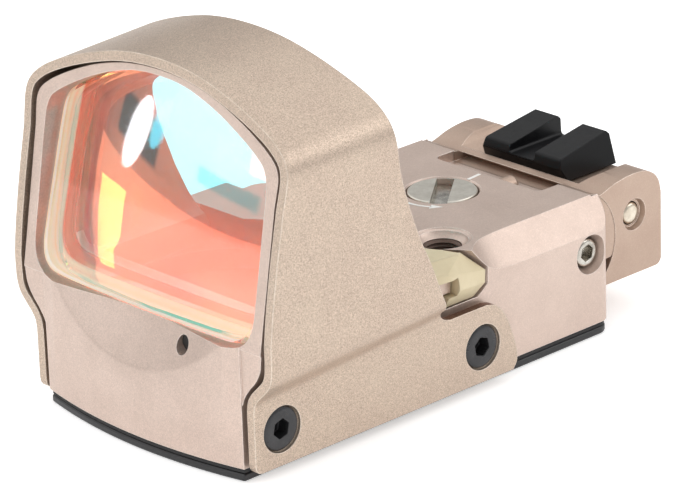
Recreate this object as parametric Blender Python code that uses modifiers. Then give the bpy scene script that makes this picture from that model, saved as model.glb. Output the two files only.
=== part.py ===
"""Open reflex (red dot) sight with a sheet hood and a hinged battery door that carries a rear notch sight.

Metres, +Z up. The objective faces -Y, the shooter looks in from +Y, the power button is on +X.
All sizes below are in millimetres, with y = 0 at the front edge of the hood flanges.
"""
import math

import bmesh
import bpy
from mathutils import Matrix, Vector

# ---------------------------------------------------------------- driving dimensions (mm)
Y_CENTRE = 25.90            # shift that puts the middle of the assembly on y = 0
BODY_HALF = 12.60           # half width of the lower body
BODY_REAR = 43.97           # rear face of the body
BODY_BOTTOM = 1.20
DECK_Z = 12.70
BULGE = 1.50                # how far the front face bows forward
CHAMFER_X, CHAMFER_Z = 1.90, 2.75
FRAME_HALF = 15.15          # half width of the lens frame
FRAME_BACK = 5.60            # rear face of the lens frame behind the glass front
GLASS_BACK = 4.05
LEAN = 0.18                 # y per mm of height, the lean of the objective
LEAN_Z, LEAN_Y = 13.00, 0.20
SHEET = 0.85                # hood sheet thickness
FLANGE_OUT = 14.00          # outer face of the hood flanges
SCREW_Z = 4.25
SCREW_Y = (3.19, 26.87)
DIAL_Y, DIAL_R = 36.05, 3.20
MOUNT_X, MOUNT_Y = 8.40, 27.70
PIVOT_Y, PIVOT_Z = 42.05, 8.04
DOOR_HALF, DOOR_REAR, DOOR_BOTTOM = 10.66, 53.30, 3.40
RELIEF_R = 5.20             # hollow of the door round its pivot
KNUCKLE_R = 5.06            # knuckle of the body inside that hollow
ARM_X = (7.90, 9.45)        # door arms, from inside to outside
CELL_R, CELL_H, CELL_Y = 8.00, 3.20, 35.20
WIND_Y, WIND_Z = 33.40, 9.30
BUTTON_Y = (20.90, 28.10)

# button pocket in the corner between the deck and the side: a lower and an upper block, as corner points (x, y, z)
POCKET_LOW = [
    (11.0, 20.9, 8.33), (11.0, 26.3, 8.33), (11.0, 26.6, 9.25), (11.0, 26.6, 10.80), (11.0, 26.2, 12.0), (11.0, 20.9, 12.0), (11.0, 20.9, 14.5), (11.0, 24.6, 14.5),
    (12.0, 28.40, 10.69), (12.0, 28.35, 9.25), (12.0, 26.80, 8.33),
    (16.0, 30.90, 10.69), (16.0, 30.85, 9.25), (16.0, 29.30, 8.33), (16.0, 27.70, 14.5), (16.0, 20.9, 8.33), (16.0, 20.9, 14.5),
]
POCKET_TOP = [
    (8.6, 20.9, 12.30), (8.6, 24.97, 12.30), (8.6, 23.12, 14.5), (8.6, 20.9, 14.5),
    (12.4, 20.9, 12.00), (12.4, 27.59, 12.0), (12.4, 25.47, 14.5), (12.4, 20.9, 14.5),
]
BUTTON_LOW = [
    (11.5, 21.3, 8.62), (11.5, 26.10, 8.62), (11.5, 26.75, 9.35), (11.5, 26.85, 10.60), (11.5, 21.3, 12.3), (11.5, 25.75, 12.3),
    (11.8, 26.55, 12.60), (12.6, 28.50, 10.55), (12.6, 28.45, 9.45), (12.6, 27.00, 8.62),
    (12.6, 21.3, 8.62), (13.45, 25.95, 9.95), (13.60, 24.30, 10.15), (13.55, 23.20, 11.85), (13.25, 22.0, 12.20), (13.3, 21.3, 11.2),
    (11.9, 21.3, 12.95), (11.6, 25.9, 12.70),
]
BUTTON_TOP = [
    (9.0, 21.3, 12.62), (9.0, 24.60, 12.62), (9.0, 24.45, 12.85), (9.0, 21.3, 12.95),
    (12.0, 21.3, 12.25), (12.0, 25.9, 12.25), (12.0, 26.2, 12.62), (12.0, 21.3, 12.95), (10.7, 25.3, 12.82),
]

# ---------------------------------------------------------------- scene and collections
for obj in list(bpy.data.objects):
    bpy.data.objects.remove(obj, do_unlink=True)
scene = bpy.context.scene
scene.unit_settings.system = "METRIC"
scene.unit_settings.scale_length = 1.0
parts = bpy.data.collections.new("red_dot_finder")
tools = bpy.data.collections.new("cutters")
scene.collection.children.link(parts)
scene.collection.children.link(tools)

MATERIALS = {
    "hood_metal": ((0.50, 0.42, 0.35, 1), 0.42, 0.75),
    "body_metal": ((0.62, 0.49, 0.42, 1), 0.38, 0.70),
    "door_metal": ((0.52, 0.41, 0.33, 1), 0.40, 0.65),
    "black_metal": ((0.02, 0.02, 0.022, 1), 0.38, 0.55),
    "steel": ((0.62, 0.60, 0.57, 1), 0.30, 1.0),
    "dial_metal": ((0.66, 0.58, 0.52, 1), 0.35, 0.85),
    "glass": ((0.70, 0.92, 0.95, 1), 0.05, 0.0),
    "rubber": ((0.02, 0.02, 0.02, 1), 0.75, 0.0),
    "button_polymer": ((0.60, 0.56, 0.42, 1), 0.55, 0.0),
    "board": ((0.03, 0.16, 0.08, 1), 0.55, 0.0),
    "contact": ((0.80, 0.60, 0.25, 1), 0.30, 1.0),
    "black_polymer": ((0.03, 0.03, 0.03, 1), 0.5, 0.0),
    "emitter": ((0.80, 0.10, 0.06, 1), 0.3, 0.0),
}
made = {}
for key, (colour, rough, metal) in MATERIALS.items():
    mat = bpy.data.materials.new(key)
    mat.use_nodes = True
    shader = mat.node_tree.nodes["Principled BSDF"]
    shader.inputs["Base Color"].default_value = colour
    shader.inputs["Roughness"].default_value = rough
    shader.inputs["Metallic"].default_value = metal
    mat.diffuse_color = colour
    made[key] = mat


# ---------------------------------------------------------------- helpers
def at(x, y, z):
    """A point in millimetres as metres in the shared frame."""
    return Vector((x / 1000.0, (y - Y_CENTRE) / 1000.0, z / 1000.0))


def finish(name, bm, material=None, smooth=False, origin=None):
    bmesh.ops.remove_doubles(bm, verts=bm.verts, dist=1e-7)
    bmesh.ops.recalc_face_normals(bm, faces=bm.faces)
    mesh = bpy.data.meshes.new(name)
    bm.to_mesh(mesh)
    bm.free()
    obj = bpy.data.objects.new(name, mesh)
    if origin is not None:
        mesh.transform(Matrix.Translation(-origin))
        obj.location = origin
    if material:
        parts.objects.link(obj)
        mesh.materials.append(made[material])
    else:
        tools.objects.link(obj)
        obj.hide_render = True
        obj.display_type = "WIRE"
    if smooth:
        mesh.polygons.foreach_set("use_smooth", [True] * len(mesh.polygons))
        mesh.set_sharp_from_angle(angle=math.radians(32))
    return obj


def loft(name, rings, material=None, smooth=False, origin=None):
    """Closed body through rings of equal point count, flat caps at both ends."""
    bm = bmesh.new()
    rows = [[bm.verts.new(at(*p)) for p in ring] for ring in rings]
    n = len(rows[0])
    for a, b in zip(rows, rows[1:]):
        for i in range(n):
            bm.faces.new((a[i], a[(i + 1) % n], b[(i + 1) % n], b[i]))
    bm.faces.new(rows[0])
    bm.faces.new(list(reversed(rows[-1])))
    return finish(name, bm, material, smooth, origin)


def prism(name, outline, plane, low, high, material=None, smooth=False, origin=None):
    """An outline in the XY, XZ or YZ plane, extruded from low to high along the third axis."""
    place = {
        "XY": lambda p, h: (p[0], p[1], h),
        "XZ": lambda p, h: (p[0], h, p[1]),
        "YZ": lambda p, h: (h, p[0], p[1]),
    }[plane]
    return loft(name, [[place(p, low) for p in outline], [place(p, high) for p in outline]], material, smooth, origin)


def box(name, x, y, z, material=None, origin=None):
    return prism(name, [(x[0], y[0]), (x[1], y[0]), (x[1], y[1]), (x[0], y[1])], "XY", z[0], z[1], material, False, origin)


def turned(name, centre, axis, profile, material=None, segments=32, origin=None, phase=0.0):
    """A solid of revolution: profile is (distance along the axis, radius) pairs, capped flat at both ends."""
    rings = []
    for along, radius in profile:
        ring = []
        for i in range(segments):
            t = 2 * math.pi * i / segments + phase
            a, b = radius * math.cos(t), radius * math.sin(t)
            if axis == "X":
                ring.append((centre[0] + along, centre[1] + a, centre[2] + b))
            elif axis == "Y":
                ring.append((centre[0] + b, centre[1] + along, centre[2] + a))
            else:
                ring.append((centre[0] + a, centre[1] + b, centre[2] + along))
        rings.append(ring)
    return loft(name, rings, material, True, origin)


def boolean(target, cutter, operation="DIFFERENCE"):
    mod = target.modifiers.new(cutter.name, "BOOLEAN")
    mod.operation = operation
    mod.solver = "EXACT"
    mod.object = cutter
    return target


def bevel(target, width, segments=1, angle=35):
    mod = target.modifiers.new("edge_break", "BEVEL")
    mod.width = width / 1000.0
    mod.segments = segments
    mod.limit_method = "ANGLE"
    mod.angle_limit = math.radians(angle)
    mod.use_clamp_overlap = True
    mod.harden_normals = False
    return target


def mirrored(half):
    """Right-hand half outline, bottom centre first and top centre last, completed on the left."""
    left = [(-x, z) for x, z in reversed(half) if abs(x) > 1e-6]
    return list(half) + left


def rounded(points, radius, steps=5):
    """Rounds each corner of a closed outline; radius is one number or one per corner."""
    out, n = [], len(points)
    radii = radius if isinstance(radius, (list, tuple)) else [radius] * n
    for i in range(n):
        p0, p1, p2 = (Vector(points[j % n]).to_2d() for j in (i - 1, i, i + 1))
        if radii[i] <= 0:
            out.append(tuple(p1))
            continue
        a, b = (p0 - p1).normalized(), (p2 - p1).normalized()
        half = a.angle(b) / 2
        reach = radii[i] / math.tan(half)
        centre = p1 + (a + b).normalized() * (radii[i] / math.sin(half))
        start, end = p1 + a * reach - centre, p1 + b * reach - centre
        turn = start.angle_signed(end)
        for k in range(steps + 1):
            c, s = math.cos(-turn * k / steps), math.sin(-turn * k / steps)
            out.append((centre.x + start.x * c - start.y * s, centre.y + start.x * s + start.y * c))
    return out


def lean(z):
    return LEAN_Y + LEAN * (z - LEAN_Z)


def glass_lean(z):
    """Front face of the glass, which sits back in its frame and leans a little more."""
    return lean(z) + 1.40 + 0.09 * (z - 15.0)


def leaned(name, outline, low, high, material=None, smooth=False, plane=lean):
    """An XZ outline swept between two planes that lean back with the objective."""
    return loft(name, [[(x, plane(z) + d, z) for x, z in outline] for d in (low, high)], material, smooth)


def hull(name, points, material=None, origin=None):
    """Convex body round a set of points."""
    bm = bmesh.new()
    for p in points:
        bm.verts.new(at(*p))
    made_hull = bmesh.ops.convex_hull(bm, input=bm.verts)
    bmesh.ops.delete(bm, geom=[g for g in made_hull["geom_interior"] if isinstance(g, bmesh.types.BMVert)], context="VERTS")
    bmesh.ops.dissolve_limit(bm, angle_limit=0.01, verts=bm.verts, edges=bm.edges)
    return finish(name, bm, material, False, origin)


def offset(points, distance):
    """Moves an open outline sideways by the same distance everywhere."""
    out = []
    for i, p in enumerate(points):
        a = Vector(points[max(i - 1, 0)])
        b = Vector(points[min(i + 1, len(points) - 1)])
        p = Vector(p)
        if 0 < i < len(points) - 1:
            d1, d2 = (p - a).normalized(), (b - p).normalized()
            n1, n2 = Vector((-d1.y, d1.x)), Vector((-d2.y, d2.x))
            m = (n1 + n2).normalized()
            out.append(tuple(p + m * (distance / max(m.dot(n1), 0.5))))
        else:
            d = (b - a).normalized()
            out.append(tuple(p + Vector((-d.y, d.x)) * distance))
    return out


# ---------------------------------------------------------------- hood: one bent sheet over the body
def hood_half(lift):
    """Outer half section from the flange edge to the crown; lift raises the step, and the crown with it, towards the rear."""
    rise = 0.856 * (lift + 0.12) - 0.20
    return [
        (14.00, 0.20), (14.00, 6.70 + lift), (14.16, 7.30 + lift), (14.62, 7.90 + lift), (15.30, 8.60 + lift * 0.9),
        (15.98, 9.35 + lift * 0.8), (16.34, 10.30 + lift * 0.6), (16.45, 11.60 + lift * 0.4), (16.45, 24.40),
        (16.58, 25.80), (16.62, 26.80), (16.50, 27.70 + rise * 0.2), (16.08, 28.50 + rise * 0.5), (15.35, 29.20 + rise * 0.8),
        (14.25, 29.92 + rise), (12.80, 30.62 + rise), (11.40, 31.18 + rise), (10.10, 31.64 + rise), (8.80, 32.06 + rise),
        (7.40, 32.45 + rise), (6.00, 32.80 + rise), (4.50, 33.08 + rise), (3.00, 33.27 + rise), (1.50, 33.38 + rise), (0.00, 33.42 + rise),
    ]


def hood_section(y, lift):
    right = hood_half(lift)
    outer = right + [(-x, z) for x, z in reversed(right[:-1])]
    inner = offset(outer, SHEET)
    return [(x, y, z) for x, z in outer + list(reversed(inner))]


hood = loft("hood_shroud", [hood_section(-2.0, -0.12), hood_section(34.0, 2.1)], "hood_metal", True)
side_view = [
    (0.10, 1.60), (0.10, 13.00), (0.40, 15.50), (0.80, 18.00), (1.30, 20.80), (1.95, 24.00), (3.84, 34.60),
    (13.75, 34.60), (13.95, 33.00), (15.05, 25.60), (15.70, 22.60), (16.45, 20.20), (17.40, 17.60), (18.50, 15.20),
    (19.85, 11.80), (20.80, 10.10), (21.50, 8.95), (22.10, 8.30), (23.00, 8.00), (27.40, 8.00), (28.50, 7.70),
    (29.40, 6.85), (30.10, 5.60), (30.75, 3.80), (31.05, 2.60), (31.00, 1.60), (30.55, 1.00), (0.70, 1.00),
]
boolean(hood, prism("hood_side_view", side_view, "YZ", -20, 20), "INTERSECT")
for side, tag in ((1, "left"), (-1, "right")):
    for y, end in zip(SCREW_Y, ("front", "rear")):
        seat = turned(
            f"seat_{tag}_{end}", (side * FLANGE_OUT, y, SCREW_Z), "X",
            [(side * 0.4, 2.12), (0.0, 2.12), (-side * 0.28, 2.12), (-side * 0.95, 1.42), (-side * 2.0, 1.42)],
        )
        boolean(hood, seat)
        screw = turned(
            f"hood_screw_{tag}_{end}", (side * FLANGE_OUT, y, SCREW_Z), "X",
            [(-side * 0.08, 1.55), (-side * 0.16, 1.92), (-side * 0.34, 1.94), (-side * 0.92, 1.28), (-side * 4.6, 1.25), (-side * 4.9, 0.95)],
            "black_metal", 32,
        )
        boolean(screw, turned(f"hex_{tag}_{end}", (side * FLANGE_OUT, y, SCREW_Z), "X", [(side * 0.5, 1.02), (-side * 1.3, 1.02)], None, 6))

# ---------------------------------------------------------------- body
plan = [(x, -BULGE + BULGE * (x / BODY_HALF) ** 2) for x in [BODY_HALF * (-1 + 2 * i / 16) for i in range(17)]]
plan += rounded([(BODY_HALF, 20.0), (BODY_HALF, BODY_REAR), (-BODY_HALF, BODY_REAR), (-BODY_HALF, 20.0)], [0, 0.9, 0.9, 0], 5)[1:-1]
body = prism("body_housing", plan, "XY", BODY_BOTTOM, DECK_Z, "body_metal", True)

frame_half = [(0, 5.0), (12.60, 5.0), (12.60, 6.90), (12.85, 7.60), (13.55, 8.60), (14.35, 9.50), (14.95, 10.60), (15.15, 11.90),
              (15.15, 24.60), (15.26, 25.90), (15.26, 26.90), (14.90, 27.75), (13.75, 28.68), (12.35, 29.45), (11.00, 30.10),
              (9.60, 30.68), (8.30, 31.16), (6.90, 31.58), (5.50, 31.93), (4.00, 32.22), (2.50, 32.39), (1.20, 32.47), (0, 32.50)]
low_half = [p for p in frame_half if p[1] < 12.0] + [(FRAME_HALF, 12.30), (0, 12.30)]
low_outline = low_half + [(-x, z) for x, z in reversed(low_half) if x > 1e-6]
boolean(body, loft("lens_frame_foot", [[(x, 0.12, z) for x, z in low_outline], [(x, glass_lean(z) + FRAME_BACK, z) for x, z in low_outline]]), "UNION")
top_half = [(0, 12.05), (FRAME_HALF, 12.05)] + [p for p in frame_half if p[1] > 12.5]
frame_outline = mirrored(top_half)
boolean(body, loft("lens_frame_block", [[(x, lean(z), z) for x, z in frame_outline], [(x, glass_lean(z) + FRAME_BACK, z) for x, z in frame_outline]]), "UNION")
# convex knuckle at the rear, which the hollow front of the battery door turns round
knuckle = [(PIVOT_Y, 5.95), (46.60, 5.95)] + [
    (PIVOT_Y + KNUCKLE_R * math.cos(math.radians(a)), PIVOT_Z + KNUCKLE_R * math.sin(math.radians(a)))
    for a in [-22 + 7.45 * i for i in range(13)] if PIVOT_Z + KNUCKLE_R * math.sin(math.radians(a)) < 12.66
] + [(43.90, 12.66), (PIVOT_Y, 12.66)]
boolean(body, prism("rear_knuckle", knuckle, "YZ", -10.50, 10.50), "UNION")

lens_half = [(0, 11.72), (9.0, 11.80), (11.80, 11.95), (12.90, 12.35), (13.65, 13.20), (13.98, 14.60), (14.02, 20.0), (14.00, 25.00),
             (13.88, 26.40), (13.40, 27.40), (12.25, 28.25), (10.90, 29.00), (9.50, 29.68), (8.20, 30.27), (6.80, 30.80),
             (5.40, 31.25), (4.00, 31.62), (2.60, 31.86), (1.30, 31.97), (0, 32.00)]
lens_outline = mirrored(lens_half)


def scaled(outline, shrink):
    """The lens outline moved inwards by the same amount everywhere, about."""
    cx, cz, hx, hz = 0.0, 21.7, 14.02, 9.95
    return [(cx + (x - cx) * (1 - shrink / hx), cz + (z - cz) * (1 - shrink / hz)) for x, z in outline]


boolean(body, leaned("lens_pocket", lens_outline, -8.0, GLASS_BACK + 0.45, plane=glass_lean))
boolean(body, leaned("rear_aperture", scaled(lens_outline, 1.0), 3.0, 9.0, plane=glass_lean))
# dished face machined round the optical axis, which leaves the crescent under the glass
dish = []
for radius, t in ((15.15, None), (15.15, 0.0), (14.0, 0.26), (12.8, 0.53), (10.75, 1.0), (6.0, 1.0), (0.4, 1.0)):
    ring = []
    for i in range(72):
        c, d = radius * math.cos(2 * math.pi * i / 72), radius * math.sin(2 * math.pi * i / 72)
        face = -BULGE + BULGE * (c / BODY_HALF) ** 2
        ring.append((c, -9.0 if t is None else face - 0.03 + 2.35 * t, 22.45 + d))
    dish.append(ring)
boolean(body, loft("face_dish", dish))
boolean(body, box("front_well", (-10.4, 10.4), (7.2, 23.0), (8.0, 20.0)))
boolean(body, prism("well_side_relief", [(-20, 9.9), (-10.0, 9.9), (10.0, 9.9), (20, 9.9), (20, 20), (-20, 20)], "XZ", 9.3, 20.4))
arm_slot = [(39.6, 4.6), (48.5, 4.6), (48.5, 13.6), (46.2, 13.6), (42.6, 11.1), (39.6, 11.1)]
for side in (1, -1):
    runs = []
    for y, f in ((26.9, 0.0), (27.4, 0.13), (28.1, 0.44), (29.06, 0.73), (30.2, 0.90), (31.6, 0.98), (33.2, 1.0), (46.0, 1.0)):
        x_in, z_in = BODY_HALF - CHAMFER_X * f, DECK_Z - CHAMFER_Z * f
        runs.append([(side * x_in, y, DECK_Z + 0.0), (side * BODY_HALF, y, z_in), (side * (BODY_HALF + 3), y, z_in), (side * (BODY_HALF + 3), y, DECK_Z + 3), (side * x_in, y, DECK_Z + 3)])
    boolean(body, loft(f"deck_chamfer_{side}", runs))
    boolean(body, turned(f"mount_bore_{side}", (side * MOUNT_X, MOUNT_Y, 0), "Z", [(-1, 1.72), (8.0, 1.72), (8.01, 2.55), (14.0, 2.55)]))
    boolean(body, turned(f"pivot_bore_{side}", (0, PIVOT_Y, PIVOT_Z), "X", [(side * 7.8, 1.45), (side * 11.9, 1.45), (side * 12.6, 1.78), (side * 13.2, 1.78)]))
    boolean(body, prism(f"arm_pocket_{side}", arm_slot, "YZ", min(side * 7.7, side * 9.65), max(side * 7.7, side * 9.65)))
    for y, end in zip(SCREW_Y, ("front", "rear")):
        boolean(body, turned(f"tapped_{side}_{end}", (0, y, SCREW_Z), "X", [(side * 9.0, 1.42), (side * 14.0, 1.42)], None, 24))
# battery bay, open to the rear
bay_outline = [((CELL_R + 0.3) * math.cos(math.pi + math.pi * i / 20), CELL_Y + (CELL_R + 0.3) * math.sin(math.pi + math.pi * i / 20)) for i in range(21)]
bay_outline += [(CELL_R + 0.3, 48.0), (-CELL_R - 0.3, 48.0)]
boolean(body, prism("battery_bay", bay_outline, "XY", 2.0, 5.7))
boolean(body, box("module_cavity", (-5.2, 5.2), (24.5, 39.3), (6.3, 11.2)))
boolean(body, box("window_opening", (-3.0, 3.0), (20.0, 26.0), (8.3, 11.05)))
boolean(body, turned("contact_hole", (0, 33.0, 0), "Z", [(5.0, 1.3), (7.0, 1.3)], None, 24))
boolean(body, turned("dial_seat", (0, DIAL_Y, 0), "Z", [(10.5, 1.35), (11.85, 1.35), (11.86, 3.45), (14.0, 3.45)], None, 48))
boolean(body, turned("windage_seat", (0, WIND_Y, WIND_Z), "X", [(-4.5, 1.15), (-10.7, 1.15), (-10.71, 2.05), (-14.0, 2.05)]))
boolean(body, box("rear_recess", (-6.45, 6.75), (41.42, 48.0), (11.65, 14.0)))
boolean(body, turned("plunger_bore", (1.8, 0, 10.80), "Y", [(39.6, 1.32), (42.75, 1.32), (42.76, 0.72), (48.0, 0.72)], None, 24))
boolean(body, hull("button_pocket", POCKET_LOW))
boolean(body, hull("button_pocket_top", POCKET_TOP))
boolean(body, box("button_lug_foot", (10.6, BODY_HALF), (20.0, 23.50), (8.1, 9.80)), "UNION")
boolean(body, box("button_lug", (12.0, BODY_HALF), (20.0, 24.45), (9.72, 11.00)), "UNION")
boolean(body, box("switch_pocket", (7.2, 12.0), (20.9, 23.9), (9.0, 11.7)))
boolean(body, turned("sensor_bore", (5.7, 0, 10.55), "Y", [(-4.0, 0.95), (1.9, 0.95)], None, 24))

# ---------------------------------------------------------------- base plate and gasket
plate = [(x * 0.992, y + 0.12 if y < 20 else y - 0.12) for x, y in plan]
base = prism("base_plate", plate, "XY", 0.0, 0.68, "black_metal", True)
gasket = prism("base_gasket", [(x * 0.988, y + 0.18 if y < 20 else y - 0.18) for x, y in plan], "XY", 0.74, 1.14, "rubber", True)
for side in (1, -1):
    boolean(base, turned(f"plate_hole_{side}", (side * MOUNT_X, MOUNT_Y, 0), "Z", [(-1, 1.72), (1, 1.72)]))
    boolean(gasket, turned(f"gasket_hole_{side}", (side * MOUNT_X, MOUNT_Y, 0), "Z", [(0.3, 2.1), (1.6, 2.1)]))
bevel(base, 0.12, 1, 50)

# ---------------------------------------------------------------- objective: cemented pair and its seal
glass_outline = scaled(lens_outline, 0.14)


def bowl(x, z, centre):
    """Depth of the collimating surface behind its own vertex."""
    return 54.0 - math.sqrt(54.0 ** 2 - x ** 2 - (z - centre) ** 2)


def lens_element(name, front, back, levels=7):
    """A glass element of the objective's outline between two surfaces given as depth functions."""
    bm = bmesh.new()
    n = len(glass_outline)
    sides = []
    for surface in (front, back):
        rings = []
        for k in range(levels, 0, -1):
            f = k / levels
            rings.append([bm.verts.new(at(x * f, glass_lean(21.7 + (z - 21.7) * f) + surface(x * f, 21.7 + (z - 21.7) * f), 21.7 + (z - 21.7) * f)) for x, z in glass_outline])
        centre = bm.verts.new(at(0, glass_lean(21.7) + surface(0, 21.7), 21.7))
        for a, b in zip(rings, rings[1:]):
            for i in range(n):
                bm.faces.new((a[i], a[(i + 1) % n], b[(i + 1) % n], b[i]))
        for i in range(n):
            bm.faces.new((rings[-1][i], rings[-1][(i + 1) % n], centre))
        sides.append(rings[0])
    a, b = sides
    for i in range(n):
        bm.faces.new((a[i], b[i], b[(i + 1) % n], a[(i + 1) % n]))
    return finish(name, bm, "glass", True)


lens_element("front_lens", lambda x, z: 0.0, lambda x, z: 0.60 + bowl(x, z, 21.7) * 0.9, 5)
lens_element("rear_lens", lambda x, z: 0.65 + bowl(x, z, 21.7) * 0.9, lambda x, z: GLASS_BACK, 5)
seal = leaned("lens_seal", glass_outline, GLASS_BACK + 0.08, GLASS_BACK + 0.38, "rubber", True, plane=glass_lean)
boolean(seal, leaned("seal_inner", scaled(lens_outline, 0.95), 3.5, 6.0, plane=glass_lean))

# ---------------------------------------------------------------- elevation drive
pivot = at(0, DIAL_Y, DECK_Z)
dial = turned("elevation_dial", (0, DIAL_Y, 0), "Z",
              [(8.6, 0.85), (8.75, 1.0), (11.90, 1.0), (11.91, DIAL_R - 0.05), (12.0, DIAL_R), (12.60, DIAL_R), (12.72, DIAL_R - 0.12)],
              "dial_metal", 48, pivot)
slot = [(-2.75, -0.80), (2.75, -0.80), (2.75, 0.80), (-2.75, 0.80)]
turn = Matrix.Rotation(math.radians(-51), 2)
slot = [tuple(Vector((0, DIAL_Y)) + turn @ Vector(p)) for p in slot]
boolean(dial, prism("dial_slot", slot, "XY", 12.05, 13.5))
turned_clip = turned("elevation_clip", (0, DIAL_Y, 0), "Z", [(10.75, 1.75), (11.05, 1.75)], "steel", 24, pivot)
boolean(turned_clip, turned("clip_bore", (0, DIAL_Y, 0), "Z", [(10.0, 1.12), (12.0, 1.12)], None, 24))

carriage = box("elevation_carriage", (-4.1, 4.1), (25.3, 38.8), (7.95, 10.2), "black_polymer")
boolean(carriage, box("carriage_tray", (-6.0, 6.0), (24.0, 34.6), (8.5, 12.0)))
boolean(carriage, turned("nut_bore", (0, DIAL_Y, 0), "Z", [(7.0, 1.25), (12.0, 1.25)], None, 24))
bevel(carriage, 0.15, 1, 50)
windage_carriage = box("windage_carriage", (-3.8, 3.2), (25.6, 34.2), (8.75, 10.2), "contact")
boolean(windage_carriage, box("carriage_window", (-2.2, 2.0), (28.0, 32.0), (9.2, 12.0)))
led = box("led_emitter", (-0.8, 0.8), (24.75, 25.4), (8.9, 10.1), "emitter")
bevel(led, 0.12, 1, 50)
box("emitter_window", (-2.8, 2.8), (23.35, 24.05), (8.5, 10.85), "glass")
leaf = [(26.5, 7.2), (28.5, 7.2), (30.5, 7.42), (32.5, 7.42), (34.5, 7.2), (38.5, 7.2)]
prism("elevation_spring", leaf + [(y, z + 0.14) for y, z in reversed(leaf)], "YZ", -1.2, 1.2, "steel")
leaf = [(5.0, 26.5), (5.0, 28.0), (4.3, 30.0), (4.3, 31.5), (5.0, 33.5), (5.0, 34.5)]
prism("windage_spring", leaf + [(x - 0.14, y) for x, y in reversed(leaf)], "XY", 8.9, 10.1, "steel")

# ---------------------------------------------------------------- windage drive
pivot = at(-11.7, WIND_Y, WIND_Z)
wind = turned("windage_screw", (0, WIND_Y, WIND_Z), "X",
              [(-4.3, 0.75), (-4.45, 0.9), (-10.80, 0.9), (-10.81, 1.78), (-11.58, 1.80), (-11.70, 1.68)], "steel", 32, pivot)
boolean(wind, box("wind_slot", (-13.0, -11.25), (WIND_Y - 0.3, WIND_Y + 0.3), (WIND_Z - 1.35, WIND_Z + 1.35)))
wind_clip = turned("windage_clip", (0, WIND_Y, WIND_Z), "X", [(-4.62, 1.5), (-4.90, 1.5)], "steel", 24, pivot)
boolean(wind_clip, turned("wind_clip_bore", (0, WIND_Y, WIND_Z), "X", [(-4.0, 1.02), (-5.5, 1.02)], None, 24))

# ---------------------------------------------------------------- power button and switch
button = hull("power_button", BUTTON_LOW, "button_polymer", at(12.6, (BUTTON_Y[0] + BUTTON_Y[1]) / 2, 11.0))
boolean(button, hull("button_crown", BUTTON_TOP), "UNION")
boolean(button, box("button_notch", (11.78, 16.0), (19.0, 24.72), (9.45, 11.28)))
boolean(button, box("button_foot_notch", (9.0, 16.0), (19.0, 23.78), (8.0, 10.08)))
boolean(button, turned("button_stem", (0, 22.4, 10.75), "X", [(10.62, 0.5), (11.75, 0.5)], None, 20), "UNION")
switch = box("tact_switch", (7.5, 10.15), (21.2, 23.6), (9.3, 11.4), "black_polymer")
bevel(switch, 0.15, 1, 50)

# ---------------------------------------------------------------- electronics and cell
board = box("circuit_board", (-4.9, 4.9), (25.2, 39.0), (6.48, 7.05), "board")
turned("coin_cell", (0, CELL_Y, 0), "Z", [(2.35, 7.2), (2.55, 7.4), (2.56, 7.75), (2.75, CELL_R), (5.40, CELL_R), (5.55, CELL_R - 0.15)], "steel", 48)
leaf = [(28.5, 2.06), (31.0, 2.06), (34.0, 2.16), (36.5, 2.16), (39.0, 2.06), (42.0, 2.06)]
prism("negative_contact", leaf + [(y, z + 0.12) for y, z in reversed(leaf)], "YZ", -1.6, 1.6, "contact")
turned("positive_contact", (0, 33.0, 0), "Z", [(5.62, 0.6), (5.75, 0.95), (6.30, 0.95), (6.42, 0.8)], "contact", 20)
turned("ambient_light_window", (5.7, 0, 10.55), "Y", [(0.5, 0.78), (1.1, 0.80)], "black_polymer", 24)

# ---------------------------------------------------------------- battery door with the rear notch sight
hinge = at(0, PIVOT_Y, PIVOT_Z)
profile = [(44.32, 1.75)]
for i in range(17):
    t = math.radians(-63.5 + (53.5 + 63.5) * i / 16)
    profile.append((PIVOT_Y + RELIEF_R * math.cos(t), PIVOT_Z + RELIEF_R * math.sin(t)))
profile += [(45.90, 12.34), (47.00, 12.66), (48.60, 12.98), (50.20, 13.08), (51.50, 12.90), (52.50, 12.32), (53.10, 11.50),
            (DOOR_REAR, 10.40), (DOOR_REAR, 4.10), (52.90, 3.55), (52.40, DOOR_BOTTOM), (45.80, DOOR_BOTTOM), (45.75, 1.75)]
door = prism("battery_door", profile, "YZ", -DOOR_HALF, DOOR_HALF, "door_metal", True, hinge)
# the lip under the block only closes the bay
for side in (1, -1):
    boolean(door, box(f"lip_end_{side}", (min(side * 9.0, side * 12.0), max(side * 9.0, side * 12.0)), (43.0, 46.5), (0.5, DOOR_BOTTOM)))
    arm = [(PIVOT_Y + 2.05 * math.cos(math.radians(a)), PIVOT_Z + 2.05 * math.sin(math.radians(a))) for a in range(45, 226, 15)]
    arm += [(42.2, 5.6), (44.0, 4.9), (46.6, 4.9), (47.6, 6.0), (47.6, 7.3), (44.6, 8.5)]
    boolean(door, prism(f"door_arm_{side}", arm, "YZ", min(side * ARM_X[0], side * ARM_X[1]), max(side * ARM_X[0], side * ARM_X[1])), "UNION")
    boolean(door, turned(f"arm_bore_{side}", (0, PIVOT_Y, PIVOT_Z), "X", [(side * 7.0, 1.2), (side * 10.0, 1.2)], None, 24))
    screw = turned(f"door_pivot_{'left' if side > 0 else 'right'}", (0, PIVOT_Y, PIVOT_Z), "X",
                   [(side * 7.95, 0.80), (side * 8.1, 0.95), (side * 9.7, 0.95), (side * 9.8, 1.30), (side * 12.0, 1.30), (side * 12.12, 1.18)], "steel", 32)
    boolean(screw, turned(f"pivot_hex_{side}", (0, PIVOT_Y, PIVOT_Z), "X", [(side * 13.0, 0.78), (side * 11.0, 0.78)], None, 6))
    boolean(door, turned(f"pin_recess_{side}", (0, 49.75, 9.15), "X", [(side * 10.1, 1.42), (side * 11.5, 1.42)], None, 24))
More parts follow.
